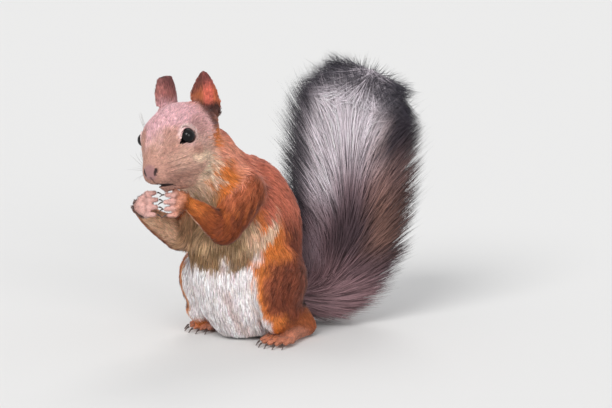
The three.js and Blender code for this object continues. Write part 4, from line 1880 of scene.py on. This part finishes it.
@dataclass
class TailPlume:
    """The bushy tail: long hairs that fan out from a thin tail to the plume's outline.

    Attributes:
        outline: The plume's places: x, y, z, half the width and half the depth.
        thickness: Radius of the thin tail at those places.
        reaches: Shares of the tail's length, and how far along the hairs reach from there.
        skin: The skin that it grows from.
        turn: Degrees that the flat of the plume is turned to the animal's left.
        hairs: How many tufts of hair.
        steps: Points along each hair.
        most: Most hairs in one piece.
        stray: Share of the hairs that are stray.
        short: How far before the plume's end the shortest hairs stop.
        fray: How much further the longest go, ordinary and stray.
        tip: Length of the plume's end that has one shape.
        lock: Distance between locks.
        pull: How far the tips of a lock draw together, as a share.
        clear: Least height of a tip above the ground.
        core: The thin tail's line.
        plume: The plume's line, with its sizes.
    """

    outline: ClassVar[tuple[tuple[float, ...], ...]] = (
        (0, 32, 20, 14, 12),
        (0.5, 48, 14, 18, 14),
        (3, 64, 15, 27, 16),
        (7, 78, 30, 36, 18),
        (9.5, 85, 56, 42, 20),
        (9, 86, 86, 45, 21),
        (9, 87, 114, 46, 21),
        (11, 92, 135, 45, 18),
        (13, 98, 146, 37, 13),
        (13.5, 102, 152, 22, 7),
    )
    thickness: ClassVar[tuple[float, ...]] = (8.0, 7.0, 5.6, 4.6, 3.9, 3.3, 2.6, 1.8, 1.2, 0.8)
    reaches: ClassVar[tuple[Pair, ...]] = ((0, 18), (0.25, 32), (0.6, 44), (1, 36))
    skin: Skin
    turn: float = 22
    hairs: int = 31500
    steps: int = 4
    most: int = 12000
    stray: float = 0.06
    short: float = 26
    fray: Pair = (22, 36)
    tip: float = 7
    lock: float = 6.0
    pull: float = 0.35
    clear: float = 0.6
    core: Line = field(init=False)
    plume: Line = field(init=False)

    def __post_init__(self) -> None:
        """Draws the two lines."""
        body = self.skin.body
        self.core, self.plume = body.line(*self.core_places()), body.line(*self.outline)

    @classmethod
    def core_places(cls) -> list[tuple[float, ...]]:
        """The stations of the thin tail, with its radius at each."""
        return [(x, y, z, r) for (x, y, z, *_), r in zip(cls.outline, cls.thickness)]

    def build(self) -> list[Object]:
        """Grows the plume.

        Returns:
            Its pieces.
        """
        rng = np.random.default_rng(SEED + 1)
        hairs = self._hairs(rng)
        paths, normals = self._shape(hairs, rng)
        width = rng.uniform(0.14, 0.28, self.hairs) * np.where(hairs.stray, 0.7, 1)
        along = np.linspace(0, 1, self.steps)[:-1]
        widths = width[:, None] * np.interp(along, (0, 0.3, 0.75), (0.8, 1, 0.65))
        tones = self._tones(paths, hairs.stray, rng)
        whole = Tufts(paths, normals, widths, tones, self._places(paths[:, 0]))
        finish = CoatFinish("fur_of_tail", roughness=0.55)
        pieces = enumerate(whole.dealt(self.most), start=1)
        return [tufts.build(f"coat_tail_{k}", finish) for k, tufts in pieces]

    def _hairs(self, rng: Chance) -> Hairs:
        """Decides where the hairs start and end.

        Args:
            rng: Source of chance.

        Returns:
            The hairs.
        """
        count = self.hairs
        share = 1 - (1 - rng.random(count)) ** 1.1 * 0.95
        chance = self.stray * (ramp(share, 0.3, 0.4) + 3.5 * ramp(share, 0.75, 0.95))
        stray = rng.random(count) < chance
        angle = rng.uniform(0, 2 * math.pi, count)
        angle = angle - 0.28 * np.sin(2 * angle)
        reach = np.interp(share, *zip(*self.reaches)) * rng.uniform(0.75, 1.15, count)
        reach = np.where(stray, reach * 1.25, reach)
        start = share * self.core.lengths[-1]
        fray = np.where(stray, self.fray[1], self.fray[0]) * rng.random(count) ** np.where(stray, 0.7, 2.0)
        limit = self.plume.lengths[-1] - self.short + fray
        out = 1.06 - 0.6 * rng.random(count) ** 1.5 + 0.12 * rng.random(count) ** 4
        out = np.where(start + reach > limit, 0.95 * np.sqrt(rng.random(count)), out)
        out = np.where(stray, out * rng.uniform(1.0, 1.15, count), out)
        return Hairs(stray, angle, start, np.minimum(start + reach, limit), out)

    def _shape(self, hairs: Hairs, rng: Chance) -> tuple[Array, Array]:
        """Bends the hairs from the thin tail out to the plume.

        Args:
            hairs: How they stand.
            rng: Source of chance.

        Returns:
            The points along each hair, and the direction away from the plume.
        """
        across, deep, out = np.cos(hairs.angle), np.sin(hairs.angle), hairs.out
        last = self.plume.lengths[-1]
        a, way_a, size_a = self.core.at(hairs.start)
        roots = a + self._spoke(way_a, across, deep) * size_a * 0.7
        b, way_b, size_b = self.plume.at(np.minimum(hairs.ahead, last - self.tip))
        wide, high = size_b.T
        spread = self._spoke(way_b, across * wide, deep * high)
        beyond = np.maximum(hairs.ahead - last + self.tip, 0) * (1 - 0.5 * np.minimum(out, 1) ** 2)
        ends = b + spread * out[:, None] + way_b * beyond[:, None]
        tips = ends + rng.normal(0, 1.2, ends.shape) + 1.4 * Ripple(16, 31).vectors(ends)
        tips = locked(tips, lock_numbers(ends, self.lock, 41), self.pull)
        tips[:, 2] = np.maximum(tips[:, 2], self.clear)
        middle = (a * 0.6 + b * 0.4) + spread * (np.minimum(out, 1) * 0.62)[:, None]
        t = np.linspace(0, 1, self.steps)[None, :, None]
        first, second, third = (1 - t) ** 2, 2 * t * (1 - t), t**2
        paths = first * roots[:, None] + second * middle[:, None] + third * tips[:, None]
        return paths, unit(self._spoke(way_b, across / wide, deep / high))

    def _spoke(self, ways: Array, across: Array, deep: Array) -> Array:
        """Vectors across the ways, given how far they go along the plume's width and depth."""
        side, back = self._axes(ways)
        return side * across[:, None] + back * deep[:, None]

    def _axes(self, ways: Array) -> tuple[Array, Array]:
        """The directions of the plume's width and depth, across the ways."""
        turn = math.radians(self.turn)
        side = flattened(np.broadcast_to(np.array([math.cos(turn), math.sin(turn), 0]), ways.shape), ways)
        return side, np.cross(ways, side)

    def _tones(self, paths: Array, stray: Array, rng: Chance) -> Array:
        """The colours along each hair: plum below, pale mauve above, slate round the rim of the plume, and
        painted light over the body's shadow low on the left.

        Args:
            paths: The points along each hair.
            stray: Which hairs stand out beyond the plume.
            rng: Source of chance.

        Returns:
            Colours: hairs x points x 3.
        """
        points, plume = paths.reshape(-1, 3), self.plume
        near = plume.nearest(points)
        side, _ = self._axes(plume.ways[near])
        gap = points - plume.points[near]
        across = np.sum(gap * side, axis=1) / plume.sizes[near, 0] + 0.05 * Ripple(20, 33).at(points)
        high = plume.lengths[near] / plume.lengths[-1] + 0.02 * Ripple(15, 34).at(points)
        shades, slate = TailPalette, TailPalette.slate
        tone = np.tile(shades.plum, (len(points), 1))
        # Painted light: the lower left, near the body and in its shadow, is lightened to mauve.
        tone = tinted(tone, shades.mauve, 0.9 * ramp(across, -0.1, -0.4) * ramp(high, 0.52, 0.42))
        band = 0.9 * ramp(across, -0.4, 0.0) * ramp(high, 0.28, 0.4) * ramp(high, 0.66, 0.54)
        tone = tinted(tone, shades.dusk, band)
        rise = high - 0.13 * ramp(across, -0.35, 0.2)
        tone = tinted(tone, shades.mauve, 0.8 * ramp(rise, 0.4, 0.54))
        tone = tinted(tone, shades.pale, ramp(rise, 0.46, 0.64) * ramp(across, 0.72, 0.5))
        band = 0.5 * ramp(across, 0.3, 0.55) * ramp(high, 0.34, 0.46) * ramp(high, 0.92, 0.78)
        tone = tinted(tone, shades.warm, band)
        corner = ramp(across, 0.42, 0.6) * ramp(high, 0.64, 0.74)
        right, left = ramp(-across, 0.42, 0.6), ramp(across, 0.74, 0.9)
        edge = right * ramp(high, 0.34, 0.46) + left * ramp(high, 0.3, 0.4)
        rim = np.maximum(edge, corner)
        tone = tinted(tone, slate, 0.95 * rim).reshape(paths.shape)
        along = np.linspace(0, 1, self.steps)[None, :, None]
        peak = np.maximum(ramp(high, 0.86, 0.95), ramp(points[:, 2], 138, 147))
        top = peak.reshape(paths.shape[:2])[:, :, None] * ramp(along, 0.2, 0.5)
        tone = tone + (slate - tone) * 0.95 * top
        tone = np.where(stray[:, None, None], tone + (slate - tone) * ramp(along, 0.1, 0.5), tone)
        chance = rng.random(len(paths))
        single = np.clip(rng.normal(1, 0.12, len(paths)), 0.7, 1.35)
        single = np.where(chance < 0.22, single * 0.42, np.where(chance > 0.85, single * 1.15, single))
        return tone * single[:, None, None] * (0.75 + 0.25 * ramp(along, 0.0, 0.4))

    def _places(self, roots: Array) -> Array:
        """Each hair's place on the bake map: that of the nearest corner of skin.

        Args:
            roots: Where the hairs start.

        Returns:
            One place a hair.
        """
        corners = self.skin.corners[:, 0]
        near = np.flatnonzero(corners[:, 1] > roots[:, 1].min() - 3)
        tree = KDTree(len(near))
        for i in near:
            tree.insert(corners[i], int(i))
        tree.balance()
        return self.skin.places[[tree.find(root)[1] for root in roots], 0]


@dataclass
class Whiskers:
    """The long dark hairs of the muzzle, and a few over the eyes.

    Attributes:
        skin: The skin that they grow from.
        rows: Rows on each side of the muzzle, one over another.
        each: Whiskers in a row, the hindmost longest.
        longest: Length of the longest.
        half_width: Half the width at the root.
        steps: Points along a whisker.
        sink: How far a root lies under the skin.
        settling: How many times the roots are moved to that depth.
        sag: How far the tips bend, in the head's frame, as shares of the length.
    """

    skin: Skin
    rows: int = 3
    each: int = 4
    longest: float = 36
    half_width: float = 0.1
    steps: int = 7
    sink: float = 0.4
    settling: int = 6
    sag: ClassVar[Place] = (0, 0.22, -0.16)

    def build(self) -> Object:
        """Makes all the whiskers as one piece.

        Returns:
            The piece.
        """
        rng = np.random.default_rng(SEED + 2)
        head = self.skin.body.head
        roots, ways, sizes = [], [], []
        for side in SIDES:
            for row in range(self.rows):
                for k in range(self.each):
                    roots.append((side * (6.5 + 1.2 * k), -17.5 + 2.6 * k, -12.2 - 2.2 * row))
                    ways.append((side * 0.8, 0.25 + 0.2 * k, 0.28 - 0.24 * row))
                    sizes.append(self.longest * (0.55 + 0.13 * k))
            for k in range(3):
                roots.append((side * (10 + 1.6 * k), -4 + 2.5 * k, 6.5))
                ways.append((side * 0.55, 0.4, 0.75))
                sizes.append(self.longest * 0.42)
        start = head.outwards(roots)
        grid = self.skin.grid
        for _ in range(self.settling):
            start = start - grid.normals(start) * (grid.sample(start) + self.sink)[:, None]
        way = unit(np.array(ways) + rng.normal(0, 0.05, (len(ways), 3))) @ head.axes.T
        length = np.array(sizes) * rng.uniform(0.85, 1.1, len(sizes))
        t = np.linspace(0, 1, self.steps)[None, :, None]
        sag = np.array(self.sag) @ head.axes.T
        paths = start[:, None] + (way[:, None] * t + sag * t**2) * length[:, None, None]
        widths = self.half_width * (1 - 0.7 * t[0, :-1, 0])[None].repeat(len(paths), axis=0)
        tones = np.broadcast_to(linear(92, 74, 68), paths.shape)
        corners = self.skin.corners[:, 0]
        nearest = [int(np.argmin(((corners - root) ** 2).sum(axis=1))) for root in start]
        normals = np.cross(way, unit(np.cross([0.0, 0.0, 1.0], way)))
        tufts = Tufts(paths, normals, widths, tones, self.skin.places[nearest, 0])
        return tufts.build("coat_face_whiskers", CoatFinish("whisker_hair", roughness=0.4))


@dataclass
class Eyes:
    """Two glossy eyeballs with a raised cornea.

    Attributes:
        head: The head's frame.
        rings: Faces round and over each ball.
        cornea: How far the cornea stands out, as a share of the radius.
        cap: Cosines from the eye's axis between which the cornea rises.
    """

    head: Head
    rings: int = 48
    cornea: float = 0.05
    cap: Pair = (0.72, 0.95)

    def build(self) -> list[Object]:
        """Makes both eyeballs.

        Returns:
            The pieces, left then right.
        """
        finish = EyeFinish().material()
        made = []
        for side, word in SIDES.items():
            bm = bmesh.new()
            bmesh.ops.create_uvsphere(bm, u_segments=self.rings, v_segments=self.rings // 2, radius=1)
            axis = self.head.axes @ unit(self.head.mirrored(self.head.eye_axis, side))
            centre = middle_of(f"eye_{word}")
            for vertex in bm.verts:
                way = np.array(vertex.co)
                bulge = 1 + self.cornea * ramp(way @ axis, *self.cap)
                vertex.co = Vector((centre + way * self.head.eye_radius * bulge) * MM)
            ball = shaped(bm, f"eyeball_{word}", finish)
            ball.data.shade_smooth()
            made.append(ball)
        return made


@dataclass
class Claws:
    """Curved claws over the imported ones, smooth and pointed.

    Attributes:
        rounds: Levels of subdivision.
        weld: Distance in metres within which vertices become one.
    """

    rounds: int = 2
    weld: float = 0.00001

    def names(self) -> list[str]:
        """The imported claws."""
        return sorted(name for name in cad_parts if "_claw_" in name)

    def build(self) -> Object:
        """Makes all the claws as one piece.

        Returns:
            The piece.
        """
        points, triangles = node_mesh(tuple(self.names()))
        starts = np.arange(len(triangles)) * 3
        made = mesh_object("claws", points, triangles.ravel(), starts)
        bm = bmesh.new()
        bm.from_mesh(made.data)
        bmesh.ops.remove_doubles(bm, verts=bm.verts, dist=self.weld)
        bm.to_mesh(made.data)
        bm.free()
        smooth = made.modifiers.new("smooth", "SUBSURF")
        smooth.levels = smooth.render_levels = self.rounds
        made.data.materials.append(ClawFinish().material())
        return made


# ---------- the studio ----------


@dataclass
class Studio:
    """A plain pale floor, soft lamps and the camera.

    Attributes:
        shift: Where the plan's origin lies in the model, in millimetres.
        aim: The point that the camera looks at, in millimetres of the plan.
        azimuth: Degrees from straight ahead of the animal towards its left.
        elevation: Degrees above level.
        distance: Metres from the aim.
        lens: Focal length in millimetres.
        floor_size: Half the floor's width in metres.
        softness: Degrees that each lamp spans.
    """

    shift: Array
    aim: Place = (18.1, 39.6, 78.3)
    azimuth: float = 45
    elevation: float = 11
    distance: float = 2.2
    lens: float = 215.7
    floor_size: float = 40
    softness: float = 30

    def build(self) -> None:
        """Sets up everything that isn't the animal."""
        self._camera()
        self._floor()
        self._world()
        key = self._sun("key_lamp", azimuth=20, elevation=41, strength=1.85)
        fill = self._sun("fill_lamp", azimuth=70, elevation=18, strength=0.85)
        back = self._sun("back_lamp", azimuth=215, elevation=45, strength=0.7)

    def _place(self, azimuth: float, elevation: float, distance: float) -> Vector:
        """A place round the aim, in metres."""
        a, e = math.radians(azimuth), math.radians(elevation)
        way = Vector((math.sin(a) * math.cos(e), -math.cos(a) * math.cos(e), math.sin(e)))
        return Vector((np.array(self.aim) + self.shift) * MM) + way * distance

    def _facing(self, name: str, data: bpy.types.ID, azimuth: float, elevation: float) -> Object:
        """A camera or lamp as an object at a place round the aim, looking at it.

        Args:
            name: Name of the object.
            data: The camera or lamp.
            azimuth: Degrees from straight ahead of the animal.
            elevation: Degrees above level.

        Returns:
            The object.
        """
        made = placed(name, data)
        made.location = self._place(azimuth, elevation, self.distance)
        way = self._place(0, 0, 0) - made.location
        made.rotation_euler = way.to_track_quat("-Z", "Y").to_euler()
        return made

    def _camera(self) -> None:
        """Makes the scene's camera."""
        camera = bpy.data.cameras.new("camera")
        camera.lens = self.lens
        camera.clip_start = 0.05
        camera.clip_end = 60
        bpy.context.scene.camera = self._facing("camera", camera, self.azimuth, self.elevation)

    def _sun(self, name: str, azimuth: float, elevation: float, strength: float) -> Object:
        """Adds one broad, soft lamp that lights the whole floor evenly.

        Args:
            name: Name of the lamp.
            azimuth: Degrees from straight ahead of the animal.
            elevation: Degrees above level.
            strength: Its strength.

        Returns:
            The lamp.
        """
        lamp = bpy.data.lights.new(name, "SUN")
        lamp.energy = strength
        lamp.angle = math.radians(self.softness)
        return self._facing(name, lamp, azimuth, elevation)

    def _floor(self) -> None:
        """Lays the floor."""
        bm = bmesh.new()
        bmesh.ops.create_grid(bm, x_segments=2, y_segments=2, size=self.floor_size)
        shader = Shader("floor_matt_pale")
        shader.set(Base_Color=(*linear(220, 219, 217), 1), Roughness=0.95, Specular_IOR_Level=0.0)
        floor = shaped(bm, "floor", shader.material)

    def _world(self) -> None:
        """Lights the scene evenly from all round, with a pale backdrop for the camera."""
        world = bpy.data.worlds.new("soft_daylight")
        bpy.context.scene.world = world
        world.use_nodes = True
        tree = world.node_tree
        sky = tree.nodes["Background"]
        sky.inputs["Color"].default_value = (*linear(244, 246, 250), 1)
        sky.inputs["Strength"].default_value = 0.6
        seen = tree.nodes.new("ShaderNodeBackground")
        seen.inputs["Color"].default_value = (*linear(243, 242, 240), 1)
        path = tree.nodes.new("ShaderNodeLightPath")
        mix = tree.nodes.new("ShaderNodeMixShader")
        backdrop = path.outputs["Is Camera Ray"]
        for ray in ("Is Glossy Ray", "Is Transmission Ray"):
            either = tree.nodes.new("ShaderNodeMath")
            either.operation = "MAXIMUM"
            tree.links.new(backdrop, either.inputs[0])
            tree.links.new(path.outputs[ray], either.inputs[1])
            backdrop = either.outputs[0]
        tree.links.new(backdrop, mix.inputs["Fac"])
        tree.links.new(sky.outputs[0], mix.inputs[1])
        tree.links.new(seen.outputs[0], mix.inputs[2])
        tree.links.new(mix.outputs[0], tree.nodes["World Output"].inputs["Surface"])


# ---------- making it all ----------


def report(made: Object) -> None:
    """Writes a piece's name and size to the log."""
    log.info("%s: %d faces", made.name, len(made.data.polygons))


def main() -> None:
    """Builds the animal and its studio in order."""
    logging.basicConfig(level=logging.INFO, format="%(relativeCreated)6d ms  %(message)s")
    body = Body()
    Studio(body.shift).build()
    marks = Markings(body)
    skin = Skin(body, marks)
    piece = skin.build()
    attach(piece, "root")
    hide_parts(*(node for part in body.parts for node in part.nodes))
    report(piece)
    for piece, region in BodyCoat(skin).build():
        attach(piece, "root")
        region.slot
        report(piece)
    piece = Whiskers(skin).build()
    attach(piece, "root")
    report(piece)
    for piece in TailPlume(skin).build():
        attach(piece, "root")
        report(piece)
    for piece, word in zip(Eyes(body.head).build(), SIDES.values()):
        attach(piece, "root")
        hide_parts(f"eye_{word}")
        report(piece)
    claws = Claws()
    piece = claws.build()
    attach(piece, "root")
    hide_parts(*claws.names())
    report(piece)
    bpy.context.scene.view_settings.view_transform = "Standard"


if __name__ == "__main__":
    main()
